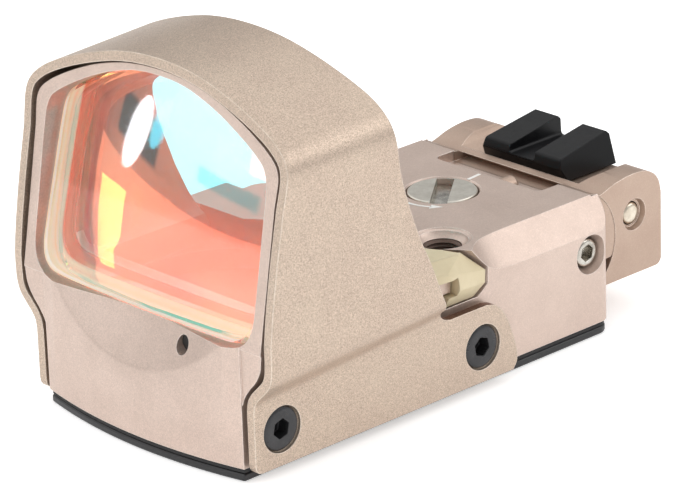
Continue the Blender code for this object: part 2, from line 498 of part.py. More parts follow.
boolean(door, box("sight_channel", (-6.75, 6.75), (45.9, 56.0), (11.62, 16.0)))
boolean(door, turned("cross_pin_bore", (0, 49.75, 9.15), "X", [(-12.0, 1.22), (12.0, 1.22)], None, 24))
bevel(door, 0.25, 1, 55)
# notch sight: a saddle in the channel with two posts and a foot on the cross pin
saddle = [(46.75, 11.80), (46.25, 12.95), (46.40, 13.75), (52.6, 14.85), (53.0, 14.60), (53.15, 11.80)]
sight = prism("notch_sight", saddle, "YZ", -6.5, 6.5, "black_metal", False, hinge)
boolean(sight, box("notch", (-1.60, 1.60), (45.0, 56.0), (13.05, 18.0)))
for side in (1, -1):
    boolean(sight, prism(f"post_side_{side}", [(side * 4.35, 17.0), (side * 4.5, 14.9), (side * 6.35, 12.10), (side * 8.0, 12.05), (side * 8.0, 17.0)], "XZ", 45.0, 56.0))
boolean(sight, box("sight_foot_cut", (-8, 8), (40, 45.9), (8, 20)))
bevel(sight, 0.18, 1, 50)
turned("sight_cross_pin", (0, 49.75, 9.15), "X", [(-10.35, 0.85), (-10.25, 1.0), (10.25, 1.0), (10.35, 0.85)], "steel", 24, hinge)

# ---------------------------------------------------------------- door detent
turned("detent_plunger", (1.8, 0, 10.80), "Y", [(40.75, 1.1), (42.10, 1.2), (42.35, 1.05), (42.36, 0.60), (45.70, 0.60), (45.95, 0.38)], "steel", 24, at(1.8, 41.0, 10.80))
turned("detent_spring", (1.8, 0, 10.80), "Y", [(39.75, 0.75), (40.15, 0.75)], "steel", 16)

for obj in parts.objects:
    obj.data.name = obj.name
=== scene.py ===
"""Looks of the open reflex (red dot) sight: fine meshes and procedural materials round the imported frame.

Lengths below are in millimetres, with y = 0 at the front edge of the hood flanges, as in the CAD part.
"""
import math

import bmesh
import bpy
from mathutils import Matrix, Vector


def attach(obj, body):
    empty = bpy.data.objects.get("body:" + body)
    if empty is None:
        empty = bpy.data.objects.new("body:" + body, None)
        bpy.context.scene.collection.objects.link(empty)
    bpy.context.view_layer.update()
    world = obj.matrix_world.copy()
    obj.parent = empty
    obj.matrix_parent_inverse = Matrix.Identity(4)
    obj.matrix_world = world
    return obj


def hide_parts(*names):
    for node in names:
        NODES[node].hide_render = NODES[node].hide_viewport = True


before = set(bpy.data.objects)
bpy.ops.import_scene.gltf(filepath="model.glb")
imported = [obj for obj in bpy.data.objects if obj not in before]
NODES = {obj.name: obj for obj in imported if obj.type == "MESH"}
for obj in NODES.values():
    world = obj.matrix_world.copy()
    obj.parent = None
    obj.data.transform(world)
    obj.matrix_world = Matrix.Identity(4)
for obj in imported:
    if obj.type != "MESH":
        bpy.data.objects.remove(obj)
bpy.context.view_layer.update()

Y_CENTRE = 25.90
BODY_HALF, BODY_REAR, BODY_BOTTOM, DECK_Z = 12.60, 43.97, 1.20, 12.70
BULGE = 1.50
CHAMFER_X, CHAMFER_Z = 1.90, 2.75
FRAME_HALF, FRAME_BACK, GLASS_BACK = 15.15, 5.60, 4.05
SHEET, FLANGE_OUT = 0.85, 14.00
SCREW_Z, SCREW_Y = 4.25, (3.19, 26.87)
DIAL_Y, DIAL_R = 36.05, 3.20
MOUNT_X, MOUNT_Y = 8.40, 27.70
PIVOT_Y, PIVOT_Z = 42.05, 8.04
DOOR_HALF, DOOR_REAR, DOOR_BOTTOM = 10.66, 53.30, 3.40
RELIEF_R, KNUCKLE_R = 5.20, 5.185
ARM_X = (7.90, 9.45)
CELL_R, CELL_Y = 8.00, 35.20
WIND_Y, WIND_Z = 33.40, 9.30


# ------------------------------------------------------------------ mesh helpers
def at(x, y, z):
    return Vector((x / 1000.0, (y - Y_CENTRE) / 1000.0, z / 1000.0))


def shade(obj, angle=30.0):
    mesh = obj.data
    mesh.polygons.foreach_set("use_smooth", [True] * len(mesh.polygons))
    mesh.set_sharp_from_angle(angle=math.radians(angle))


def finish(name, bm, weld=1e-7):
    bmesh.ops.remove_doubles(bm, verts=bm.verts, dist=weld)
    bmesh.ops.recalc_face_normals(bm, faces=bm.faces)
    mesh = bpy.data.meshes.new(name)
    bm.to_mesh(mesh)
    bm.free()
    obj = bpy.data.objects.new(name, mesh)
    bpy.context.scene.collection.objects.link(obj)
    return obj


def loft(name, rings):
    bm = bmesh.new()
    rows = [[bm.verts.new(at(*p)) for p in ring] for ring in rings]
    n = len(rows[0])
    for a, b in zip(rows, rows[1:]):
        for i in range(n):
            bm.faces.new((a[i], a[(i + 1) % n], b[(i + 1) % n], b[i]))
    bm.faces.new(rows[0])
    bm.faces.new(list(reversed(rows[-1])))
    return finish(name, bm)


def prism(name, outline, plane, low, high):
    place = {
        "XY": lambda p, h: (p[0], p[1], h),
        "XZ": lambda p, h: (p[0], h, p[1]),
        "YZ": lambda p, h: (h, p[0], p[1]),
    }[plane]
    return loft(name, [[place(p, low) for p in outline], [place(p, high) for p in outline]])


def box(name, x, y, z):
    return prism(name, [(x[0], y[0]), (x[1], y[0]), (x[1], y[1]), (x[0], y[1])], "XY", z[0], z[1])


def turned(name, centre, axis, profile, segments=64, phase=0.0):
    rings = []
    for along, radius in profile:
        ring = []
        for i in range(segments):
            t = 2 * math.pi * i / segments + phase
            a, b = radius * math.cos(t), radius * math.sin(t)
            if axis == "X":
                ring.append((centre[0] + along, centre[1] + a, centre[2] + b))
            elif axis == "Y":
                ring.append((centre[0] + b, centre[1] + along, centre[2] + a))
            else:
                ring.append((centre[0] + a, centre[1] + b, centre[2] + along))
        rings.append(ring)
    return loft(name, rings)


def hull(name, points):
    bm = bmesh.new()
    for p in points:
        bm.verts.new(at(*p))
    made = bmesh.ops.convex_hull(bm, input=bm.verts)
    bmesh.ops.delete(bm, geom=[g for g in made["geom_interior"] if isinstance(g, bmesh.types.BMVert)], context="VERTS")
    bmesh.ops.dissolve_limit(bm, angle_limit=0.01, verts=bm.verts, edges=bm.edges)
    return finish(name, bm)


def cut(target, *cutters, operation="DIFFERENCE"):
    """Queues a Boolean; bake() applies the queue and drops the cutters."""
    for cutter in cutters:
        mod = target.modifiers.new(cutter.name, "BOOLEAN")
        mod.operation = operation
        mod.solver = "EXACT"
        mod.object = cutter
        cutter.hide_render = True
    return target


def bake(obj, angle=30.0):
    cutters = [m.object for m in obj.modifiers if m.type == "BOOLEAN"]
    bpy.context.view_layer.update()
    graph = bpy.context.evaluated_depsgraph_get()
    mesh = bpy.data.meshes.new_from_object(obj.evaluated_get(graph))
    old = obj.data
    obj.modifiers.clear()
    obj.data = mesh
    bpy.data.meshes.remove(old)
    mesh.name = obj.name
    for c in cutters:
        if c and c.name in bpy.data.objects:
            data = c.data
            bpy.data.objects.remove(c, do_unlink=True)
            bpy.data.meshes.remove(data)
    bm = bmesh.new()
    bm.from_mesh(mesh)
    bmesh.ops.remove_doubles(bm, verts=bm.verts, dist=2e-6)
    bmesh.ops.dissolve_degenerate(bm, edges=bm.edges, dist=2e-6)
    bm.to_mesh(mesh)
    bm.free()
    shade(obj, angle)
    return obj


def soften(obj, width, segments=2, angle=32.0, weighted=True):
    """Small rounded edges as real geometry."""
    mod = obj.modifiers.new("edge_break", "BEVEL")
    mod.width = width / 1000.0
    mod.segments = segments
    mod.limit_method = "ANGLE"
    mod.angle_limit = math.radians(angle)
    mod.use_clamp_overlap = True
    mod.miter_outer = "MITER_ARC"
    if weighted:
        wn = obj.modifiers.new("weighted", "WEIGHTED_NORMAL")
        wn.keep_sharp = True
        wn.weight = 60
    return obj


def mirrored(half):
    return list(half) + [(-x, z) for x, z in reversed(half) if abs(x) > 1e-6]


def rounded(points, radius, steps=8):
    out, n = [], len(points)
    radii = radius if isinstance(radius, (list, tuple)) else [radius] * n
    for i in range(n):
        p0, p1, p2 = (Vector(points[j % n]).to_2d() for j in (i - 1, i, i + 1))
        if radii[i] <= 0:
            out.append(tuple(p1))
            continue
        a, b = (p0 - p1).normalized(), (p2 - p1).normalized()
        half = a.angle(b) / 2
        reach = radii[i] / math.tan(half)
        centre = p1 + (a + b).normalized() * (radii[i] / math.sin(half))
        start, end = p1 + a * reach - centre, p1 + b * reach - centre
        turn = start.angle_signed(end)
        for k in range(steps + 1):
            c, s = math.cos(-turn * k / steps), math.sin(-turn * k / steps)
            out.append((centre.x + start.x * c - start.y * s, centre.y + start.x * s + start.y * c))
    return out


def flow(points, steps=3, sharp=()):
    """A smooth open curve through the points (centripetal Catmull-Rom); indices in sharp stay corners."""
    pts = [Vector(p) for p in points]
    out = []
    for i in range(len(pts) - 1):
        p1, p2 = pts[i], pts[i + 1]
        p0 = pts[i - 1] if i > 0 and i not in sharp else p1 + (p1 - p2)
        p3 = pts[i + 2] if i + 2 < len(pts) and (i + 1) not in sharp else p2 + (p2 - p1)
        t0 = 0.0
        t1 = t0 + math.sqrt(max((p1 - p0).length, 1e-6))
        t2 = t1 + math.sqrt(max((p2 - p1).length, 1e-6))
        t3 = t2 + math.sqrt(max((p3 - p2).length, 1e-6))
        for k in range(steps):
            t = t1 + (t2 - t1) * k / steps
            a1 = p0 * ((t1 - t) / (t1 - t0)) + p1 * ((t - t0) / (t1 - t0))
            a2 = p1 * ((t2 - t) / (t2 - t1)) + p2 * ((t - t1) / (t2 - t1))
            a3 = p2 * ((t3 - t) / (t3 - t2)) + p3 * ((t - t2) / (t3 - t2))
            b1 = a1 * ((t2 - t) / (t2 - t0)) + a2 * ((t - t0) / (t2 - t0))
            b2 = a2 * ((t3 - t) / (t3 - t1)) + a3 * ((t - t1) / (t3 - t1))
            out.append(tuple(b1 * ((t2 - t) / (t2 - t1)) + b2 * ((t - t1) / (t2 - t1))))
    out.append(tuple(pts[-1]))
    return out


def offset(points, distance):
    out = []
    for i, p in enumerate(points):
        a = Vector(points[max(i - 1, 0)])
        b = Vector(points[min(i + 1, len(points) - 1)])
        p = Vector(p)
        if 0 < i < len(points) - 1:
            d1, d2 = (p - a).normalized(), (b - p).normalized()
            n1, n2 = Vector((-d1.y, d1.x)), Vector((-d2.y, d2.x))
            m = (n1 + n2).normalized()
            out.append(tuple(p + m * (distance / max(m.dot(n1), 0.5))))
        else:
            d = (b - a).normalized()
            out.append(tuple(p + Vector((-d.y, d.x)) * distance))
    return out


def lean(z):
    return 0.20 + 0.18 * (z - 13.0)


def glass_lean(z):
    return lean(z) + 1.40 + 0.09 * (z - 15.0)


def leaned(name, outline, low, high, plane=lean):
    return loft(name, [[(x, plane(z) + d, z) for x, z in outline] for d in (low, high)])


# ------------------------------------------------------------------ material helpers
def srgb(r, g, b):
    def one(c):
        c = c / 255.0
        return c / 12.92 if c <= 0.04045 else ((c + 0.055) / 1.055) ** 2.4
    return (one(r), one(g), one(b), 1.0)


class Graph:
    def __init__(self, name):
        self.mat = bpy.data.materials.new(name)
        self.mat.use_nodes = True
        self.tree = self.mat.node_tree
        self.shader = self.tree.nodes["Principled BSDF"]
        self.out = self.tree.nodes["Material Output"]

    def node(self, kind, **values):
        n = self.tree.nodes.new(kind)
        for key, value in values.items():
            setattr(n, key, value)
        return n

    def link(self, a, b):
        self.tree.links.new(a, b)

    def feed(self, socket, value):
        if isinstance(value, bpy.types.NodeSocket):
            self.link(value, socket)
        elif value is not None:
            socket.default_value = value

    def math(self, op, a, b=None, clamp=False):
        n = self.node("ShaderNodeMath", operation=op, use_clamp=clamp)
        self.feed(n.inputs[0], a)
        if b is not None:
            self.feed(n.inputs[1], b)
        return n.outputs[0]

    def mix(self, fac, a, b, blend="MIX"):
        n = self.node("ShaderNodeMix", data_type="RGBA", blend_type=blend)
        self.feed(n.inputs[0], fac)
        self.feed(n.inputs[6], a)
        self.feed(n.inputs[7], b)
        return n.outputs[2]

    def spread(self, value, lo, hi, out_lo=0.0, out_hi=1.0):
        n = self.node("ShaderNodeMapRange")
        n.clamp = True
        self.feed(n.inputs[0], value)
        for i, v in enumerate((lo, hi, out_lo, out_hi)):
            n.inputs[i + 1].default_value = v
        return n.outputs[0]

    def place(self):
        """Object coordinates in millimetres."""
        if not hasattr(self, "_mm"):
            tc = self.node("ShaderNodeTexCoord")
            sc = self.node("ShaderNodeVectorMath", operation="SCALE")
            self.link(tc.outputs["Object"], sc.inputs[0])
            sc.inputs[3].default_value = 1000.0
            self._mm = sc.outputs[0]
        return self._mm

    def noise(self, scale, detail=2.0, rough=0.55, stretch=None):
        n = self.node("ShaderNodeTexNoise")
        vec = self.place()
        if stretch:
            m = self.node("ShaderNodeVectorMath", operation="MULTIPLY")
            self.link(vec, m.inputs[0])
            m.inputs[1].default_value = stretch
            vec = m.outputs[0]
        self.link(vec, n.inputs["Vector"])
        n.inputs["Scale"].default_value = scale
        n.inputs["Detail"].default_value = detail
        n.inputs["Roughness"].default_value = rough
        return n.outputs["Fac"]

    def cells(self, scale):
        n = self.node("ShaderNodeTexVoronoi")
        self.link(self.place(), n.inputs["Vector"])
        n.inputs["Scale"].default_value = scale
        sep = self.node("ShaderNodeSeparateColor")
        self.link(n.outputs["Color"], sep.inputs[0])
        return sep.outputs[0], sep.outputs[1]

    def edges(self, radius=0.10, low=0.02, high=0.25):
        """1 on worn outside edges; also the rounded normal."""
        bev = self.node("ShaderNodeBevel")
        bev.samples = 6
        bev.inputs["Radius"].default_value = radius / 1000.0
        geo = self.node("ShaderNodeNewGeometry")
        dot = self.node("ShaderNodeVectorMath", operation="DOT_PRODUCT")
        self.link(bev.outputs[0], dot.inputs[0])
        self.link(geo.outputs["Normal"], dot.inputs[1])
        away = self.math("SUBTRACT", 1.0, dot.outputs["Value"])
        return self.spread(away, low, high), bev.outputs[0]

    def bump(self, height, strength, distance_mm, normal=None):
        n = self.node("ShaderNodeBump")
        n.inputs["Strength"].default_value = strength
        n.inputs["Distance"].default_value = distance_mm / 1000.0
        self.link(height, n.inputs["Height"])
        if normal is not None:
            self.link(normal, n.inputs["Normal"])
        return n.outputs[0]


def blasted(name, light, dark, wear, rough=0.42, metallic=0.85, grain=0.16, sparkle=0.5, wear_amount=0.85, edge=0.09, cell=11.0, relief=0.30):
    """Bead-blasted and anodised aluminium: fine grain, small bright specks, soft stains, bright worn edges."""
    g = Graph(name)
    stain = g.noise(0.22, 3.0, 0.6)
    fine = g.noise(15.0, 1.0, 0.8)
    spot, other = g.cells(cell)
    axes = g.node("ShaderNodeSeparateXYZ")
    g.link(g.place(), axes.inputs[0])
    keen = g.spread(axes.outputs["Y"], -26.0, 12.0, 1.0, 0.45)
    glint = g.spread(spot, 0.80, 1.0)
    rub = g.noise(1.6, 3.0, 0.7)
    worn, round_normal = g.edges(edge, 0.004, 0.12)
    colour = g.mix(g.spread(stain, 0.30, 0.70), light, dark)
    level = g.math("ADD", g.spread(fine, 0.22, 0.78, -0.5, 0.5), g.math("SUBTRACT", other, 0.5))
    shade_fac = g.math("ADD", 1.0, g.math("MULTIPLY", level, g.math("MULTIPLY", keen, grain)))
    grey = g.node("ShaderNodeCombineColor")
    for i in range(3):
        g.link(shade_fac, grey.inputs[i])
    colour = g.mix(1.0, colour, grey.outputs[0], "MULTIPLY")
    colour = g.mix(g.math("MULTIPLY", glint, sparkle), colour, tuple(min(1.0, c * 1.35 + 0.06) for c in light[:3]) + (1.0,))
    wear_mask = g.math("MULTIPLY", worn, g.spread(rub, 0.25, 0.62, 0.35 * wear_amount, wear_amount))
    colour = g.mix(wear_mask, colour, wear)
    g.link(colour, g.shader.inputs["Base Color"])
    r = g.spread(g.noise(2.3, 2.0), 0.3, 0.7, rough - 0.02, rough + 0.02)
    r = g.math("SUBTRACT", r, g.math("MULTIPLY", glint, 0.10))
    r = g.math("SUBTRACT", r, g.math("MULTIPLY", wear_mask, 0.10), clamp=True)
    g.link(r, g.shader.inputs["Roughness"])
    g.shader.inputs["Metallic"].default_value = metallic
    height = g.math("ADD", g.math("MULTIPLY", fine, 0.6), g.math("MULTIPLY", spot, 0.4))
    g.link(g.bump(height, relief, 0.030, round_normal), g.shader.inputs["Normal"])
    return g.mat


def machined(name, colour, dark, rough=0.25, metallic=1.0, streak=(1, 1, 30), edge=0.06, bright=None):
    """Turned or milled metal with fine tool marks and a little dirt."""
    g = Graph(name)
    lines = g.noise(2.2, 3.0, 0.6, streak)
    stain = g.noise(0.9, 3.0, 0.6)
    worn, round_normal = g.edges(edge)
    base = g.mix(g.spread(stain, 0.35, 0.75), colour, dark)
    base = g.mix(g.spread(lines, 0.3, 0.7, 0.0, 0.35), base, dark)
    base = g.mix(g.math("MULTIPLY", worn, 0.6), base, bright or tuple(min(1, c * 1.3) for c in colour[:3]) + (1,))
    g.link(base, g.shader.inputs["Base Color"])
    g.link(g.spread(lines, 0.25, 0.75, rough - 0.06, rough + 0.10), g.shader.inputs["Roughness"])
    g.shader.inputs["Metallic"].default_value = metallic
    g.link(g.bump(lines, 0.18, 0.02, round_normal), g.shader.inputs["Normal"])
    return g.mat


def moulded(name, light, dark, rough=0.5, grain_scale=5.0, bump=0.2, edge=0.10, wear=None, wear_amount=0.4, spec=0.5, metallic=0.0):
    """Moulded polymer or coated steel: fine grain, softened edges, faint handling marks."""
    g = Graph(name)
    fine = g.noise(grain_scale, 3.0, 0.6)
    low = g.noise(0.30, 3.0, 0.6)
    rub = g.noise(1.1, 4.0, 0.7)
    worn, round_normal = g.edges(edge)
    colour = g.mix(g.spread(low, 0.3, 0.7), light, dark)
    colour = g.mix(g.spread(fine, 0.35, 0.75, 0.0, 0.35), colour, dark)
    if wear:
        colour = g.mix(g.math("MULTIPLY", worn, g.spread(rub, 0.35, 0.65, 0.1 * wear_amount, wear_amount)), colour, wear)
    g.link(colour, g.shader.inputs["Base Color"])
    g.link(g.spread(rub, 0.3, 0.7, rough - 0.06, rough + 0.08), g.shader.inputs["Roughness"])
    g.shader.inputs["Metallic"].default_value = metallic
    g.shader.inputs["Specular IOR Level"].default_value = spec
    g.link(g.bump(fine, bump, 0.02, round_normal), g.shader.inputs["Normal"])
    return g.mat


M = {}
M["hood"] = blasted("hood_bead_blasted", srgb(195, 177, 160), srgb(190, 171, 155), srgb(252, 242, 228), rough=0.42, metallic=0.82, grain=0.50, sparkle=0.55, edge=0.13, cell=15.0, relief=0.55)
# Darker copy of the housing finish for the lens well, the mount bores and the tunnel: painted shade in these recesses.
M["well"] = blasted("inner_well_painted_shade", srgb(118, 96, 86), srgb(98, 80, 70), srgb(150, 130, 118), rough=0.55, metallic=0.5, grain=0.10, sparkle=0.10, relief=0.15)
M["body"] = blasted("body_bead_blasted", srgb(211, 191, 179), srgb(201, 181, 169), srgb(255, 247, 240), rough=0.44, metallic=0.72, grain=0.17, sparkle=0.14, edge=0.10, relief=0.20)
M["door"] = blasted("door_bead_blasted", srgb(188, 165, 149), srgb(180, 156, 140), srgb(252, 238, 224), rough=0.43, metallic=0.75, grain=0.12, sparkle=0.08, edge=0.12, relief=0.14)
M["black_sight"] = moulded("black_sight_coating", srgb(15, 15, 18), srgb(9, 9, 11), rough=0.36, grain_scale=6.0, bump=0.06, edge=0.16, wear=srgb(92, 92, 98), wear_amount=0.35, spec=0.22, metallic=0.0)
M["black_screw"] = moulded("black_screw_oxide", srgb(66, 66, 68), srgb(44, 44, 46), rough=0.30, grain_scale=6.0, bump=0.15, edge=0.07, wear=srgb(190, 190, 190), wear_amount=0.5, spec=0.7, metallic=0.55)
M["base"] = moulded("base_coating", srgb(40, 40, 42), srgb(26, 26, 28), rough=0.38, grain_scale=5.0, bump=0.18, edge=0.08, wear=srgb(140, 140, 142), wear_amount=0.35)
M["rubber"] = moulded("gasket_rubber", srgb(34, 34, 35), srgb(22, 22, 23), rough=0.62, grain_scale=4.0, bump=0.35, edge=0.05)
M["steel"] = machined("turned_steel", srgb(214, 210, 202), srgb(150, 144, 134), rough=0.22, streak=(1, 14, 14))
M["pin"] = machined("dowel_steel", srgb(232, 222, 205), srgb(188, 176, 158), rough=0.30, streak=(1, 10, 10))
M["dial"] = machined("faced_dial", srgb(224, 220, 210), srgb(196, 190, 178), rough=0.34, streak=(6, 6, 1), edge=0.05)
M["slot_floor"] = machined("slot_floor", srgb(226, 222, 212), srgb(96, 92, 86), rough=0.20, streak=(5, 5, 1), edge=0.03)
# Darker brown for the top edge of the hood flange: the sheet's cut edge with a painted contact shadow where it meets
# the body.
M["cut_edge"] = blasted("hood_cut_edge", srgb(120, 84, 66), srgb(84, 52, 40), srgb(240, 214, 196), rough=0.40, metallic=0.6, grain=0.35, sparkle=0.45, edge=0.12)
M["button"] = moulded("button_polymer", srgb(226, 212, 180), srgb(214, 199, 164), rough=0.46, grain_scale=4.5, bump=0.16, edge=0.16, wear=srgb(240, 230, 205), wear_amount=0.5, spec=0.4)
M["board"] = moulded("solder_mask", srgb(24, 84, 52), srgb(14, 56, 34), rough=0.35, grain_scale=3.0, bump=0.1, edge=0.04)
M["contact"] = machined("plated_contact", srgb(226, 184, 104), srgb(168, 128, 62), rough=0.24, streak=(10, 1, 1))
M["inner_black"] = moulded("inner_polymer", srgb(40, 40, 42), srgb(26, 26, 28), rough=0.5, grain_scale=5.0, bump=0.2, edge=0.06)
M["paint"] = moulded("marking_paint", srgb(250, 248, 244), srgb(236, 232, 226), rough=0.5, grain_scale=9.0, bump=0.25, edge=0.02)
M["emitter"] = moulded("emitter_resin", srgb(196, 40, 30), srgb(140, 20, 16), rough=0.2, grain_scale=3.0, bump=0.05, edge=0.04)


def clear_glass(name, tint=(1, 1, 1, 1), rough=0.0, ior=1.50):
    g = Graph(name)
    smear = g.noise(0.5, 4.0, 0.65)
    g.shader.inputs["Base Color"].default_value = tint
    g.shader.inputs["Transmission Weight"].default_value = 1.0
    g.shader.inputs["IOR"].default_value = ior
    g.link(g.spread(smear, 0.45, 0.85, rough, rough + 0.035), g.shader.inputs["Roughness"])
    return g.mat


def coated(name):
    """Dichroic face of the cemented pair: sends red and some green back and lets the rest through, so that both add up to one."""
    g = Graph(name)
    back = g.node("ShaderNodeBsdfGlossy")
    through = g.node("ShaderNodeBsdfTransparent")
    both = g.node("ShaderNodeAddShader")
    drift = g.spread(g.noise(0.10, 2.0, 0.5), 0.35, 0.70)
    g.link(g.mix(drift, (0.87, 0.26, 0.13, 1), (0.89, 0.18, 0.09, 1)), back.inputs["Color"])
    g.link(g.mix(drift, (0.13, 0.74, 0.87, 1), (0.11, 0.82, 0.91, 1)), through.inputs["Color"])
    back.inputs["Roughness"].default_value = 0.02
    g.link(back.outputs[0], both.inputs[0])
    g.link(through.outputs[0], both.inputs[1])
    g.link(both.outputs[0], g.out.inputs["Surface"])
    g.tree.nodes.remove(g.shader)
    return g.mat


def ground_edge_painted_glow(name):
    """Ground rim of the glass with painted reflections and a painted glow: satin bands whose tint changes with the
    depth behind the front face, also fed to a faint emission.
    """
    g = Graph(name)
    split = g.node("ShaderNodeSeparateXYZ")
    g.link(g.place(), split.inputs[0])
    depth = g.math("ADD", g.math("SUBTRACT", split.outputs["Y"], g.math("MULTIPLY", split.outputs["Z"], 0.27)), 27.99)
    wave = g.math("MULTIPLY", g.math("SUBTRACT", g.noise(0.5, 3.0), 0.5), 0.35)
    # Colour bands by depth behind the front face: painted reflections in the rim.
    ramp = g.node("ShaderNodeValToRGB")
    g.link(g.spread(g.math("ADD", depth, wave), -0.8, 4.1), ramp.inputs[0])
    stops = [(0.0, (1.0, 0.93, 0.84)), (0.05, (0.74, 0.86, 0.98)), (0.10, (1.0, 0.95, 0.88)), (0.17, (0.93, 0.70, 0.50)), (0.22, (0.98, 0.92, 0.82)),
             (0.30, (0.82, 0.62, 0.42)), (0.45, (0.90, 0.72, 0.50)), (0.60, (0.70, 0.50, 0.34)), (0.80, (0.86, 0.66, 0.46)), (1.0, (0.55, 0.42, 0.32))]
    elements = ramp.color_ramp.elements
    elements[0].position, elements[0].color = stops[0][0], stops[0][1] + (1.0,)
    elements[1].position, elements[1].color = stops[-1][0], stops[-1][1] + (1.0,)
    for position, colour in stops[1:-1]:
        elements.new(position).color = colour + (1.0,)
    g.link(ramp.outputs[0], g.shader.inputs["Base Color"])
    # The same tint drives the emission: a painted glow on the rim, which is no lamp.
    g.link(ramp.outputs[0], g.shader.inputs["Emission Color"])
    g.link(g.spread(g.noise(1.2, 3.0), 0.3, 0.7, 0.30, 0.45), g.shader.inputs["Roughness"])
    g.shader.inputs["Emission Strength"].default_value = 0.42
    return g.mat


def film(name, strength):
    """Outer antireflection layer: it passes nearly everything and sends a little back."""
    g = Graph(name)
    back = g.node("ShaderNodeBsdfGlossy")
    through = g.node("ShaderNodeBsdfTransparent")
    both = g.node("ShaderNodeAddShader")
    haze = g.spread(g.noise(0.35, 4.0, 0.65), 0.35, 0.75)
    g.link(g.mix(haze, (strength, strength, strength, 1), (strength * 0.8, strength * 0.9, strength, 1)), back.inputs["Color"])
    through.inputs["Color"].default_value = (0.97, 0.97, 0.97, 1)
    back.inputs["Roughness"].default_value = 0.03
    g.link(back.outputs[0], both.inputs[0])
    g.link(through.outputs[0], both.inputs[1])
    g.link(both.outputs[0], g.out.inputs["Surface"])
    g.tree.nodes.remove(g.shader)
    return g.mat


M["ground"] = ground_edge_painted_glow("ground_glass_edge_painted_glow")
M["film"] = film("outer_coating", 0.05)
M["glass"] = clear_glass("objective_glass")
M["coating"] = coated("dichroic_coating")
g = Graph("optical_contact")
g.tree.nodes.remove(g.shader)
clear = g.node("ShaderNodeBsdfTransparent")
g.link(g.mix(g.spread(g.noise(0.4, 3.0), 0.3, 0.8), (1, 1, 1, 1), (0.985, 0.99, 0.99, 1)), clear.inputs[0])
g.link(clear.outputs[0], g.out.inputs["Surface"])
M["contact_face"] = g.mat
M["window"] = clear_glass("emitter_window_glass", (0.95, 0.98, 1.0, 1), 0.02)


def show(obj, material, body, *replaced):
    """Gives a finished piece its material, the body it rides on, and the CAD nodes it stands for."""
    obj.data.materials.clear()
    obj.data.materials.append(M[material])
    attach(obj, body)
    if replaced:
        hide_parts(*replaced)
    return obj


# ------------------------------------------------------------------ hood
def hood_half(lift):
    rise = 0.856 * (lift + 0.12) - 0.20
    straight = [(14.00, 0.20), (14.00, 6.50 + lift)]
    bend = [
        (14.00, 6.50 + lift), (14.16, 7.30 + lift), (14.62, 7.95 + lift), (15.30, 8.62 + lift * 0.9),
        (15.98, 9.40 + lift * 0.8), (16.34, 10.35 + lift * 0.6), (16.45, 11.60 + lift * 0.4),
    ]
    top = [
        (16.45, 11.60 + lift * 0.4), (16.45, 24.40), (16.57, 25.80), (16.61, 26.80), (16.49, 27.70 + rise * 0.2), (16.08, 28.50 + rise * 0.5), (15.35, 29.20 + rise * 0.8),
        (14.25, 29.92 + rise), (12.80, 30.62 + rise), (11.40, 31.18 + rise), (10.10, 31.64 + rise), (8.80, 32.06 + rise), (7.40, 32.45 + rise), (6.00, 32.80 + rise),
        (4.50, 33.08 + rise), (3.00, 33.27 + rise), (1.50, 33.38 + rise), (0.00, 33.42 + rise),
    ]
    return straight[:1] + flow(bend, 4)[:-1] + flow(top, 4, sharp=(1,))


def hood_section(y, lift):
    right = hood_half(lift)
    outer = right + [(-x, z) for x, z in reversed(right[:-1])]
    inner = offset(outer, SHEET)
    return [(x, y, z) for x, z in outer + list(reversed(inner))]


hood = loft("hood", [hood_section(-2.0, -0.12), hood_section(34.0, 2.1)])
front_edge = flow([(0.10, 1.90), (0.10, 13.00), (0.40, 15.50), (0.80, 18.00), (1.30, 20.80), (1.95, 24.00), (2.90, 29.30), (3.84, 34.60)], 3, sharp=(1,))
rear_edge = flow([(13.75, 34.60), (13.95, 33.00), (15.05, 25.60), (15.70, 22.60), (16.45, 20.20), (17.40, 17.60), (18.50, 15.20),
                  (19.85, 11.80), (20.80, 10.10), (21.50, 8.95), (22.10, 8.32), (23.00, 8.00), (27.40, 8.00), (28.50, 7.70),
                  (29.40, 6.85), (30.10, 5.60), (30.75, 3.80), (31.05, 2.60), (31.02, 1.70), (30.55, 1.00)], 4, sharp=(11, 12))
side_view = front_edge + rear_edge + [(0.75, 1.00), (0.40, 1.12), (0.18, 1.40)]
cut(hood, prism("hood_side_view", side_view, "YZ", -20, 20), operation="INTERSECT")
for side in (1, -1):
    for y in SCREW_Y:
        cut(hood, turned(f"seat{side}{y}", (side * FLANGE_OUT, y, SCREW_Z), "X",
                         [(side * 0.4, 2.10), (0.0, 2.10), (-side * 0.28, 2.08), (-side * 0.95, 1.42), (-side * 2.0, 1.42)]))
bake(hood)
soften(hood, 0.13, 2, 38)
show(hood, "hood", "housing", "hood_shroud")
hood.data.materials.append(M["cut_edge"])
# Upward faces along the flange top edge behind y = 22 take the darker cut-edge colour, which paints in the contact
# shadow against the body.
for poly in hood.data.polygons:
    if poly.normal.z > 0.6 and 0.0060 < poly.center.z < 0.0084 and poly.center.y > at(0, 22.0, 0).y:
        poly.material_index = 1

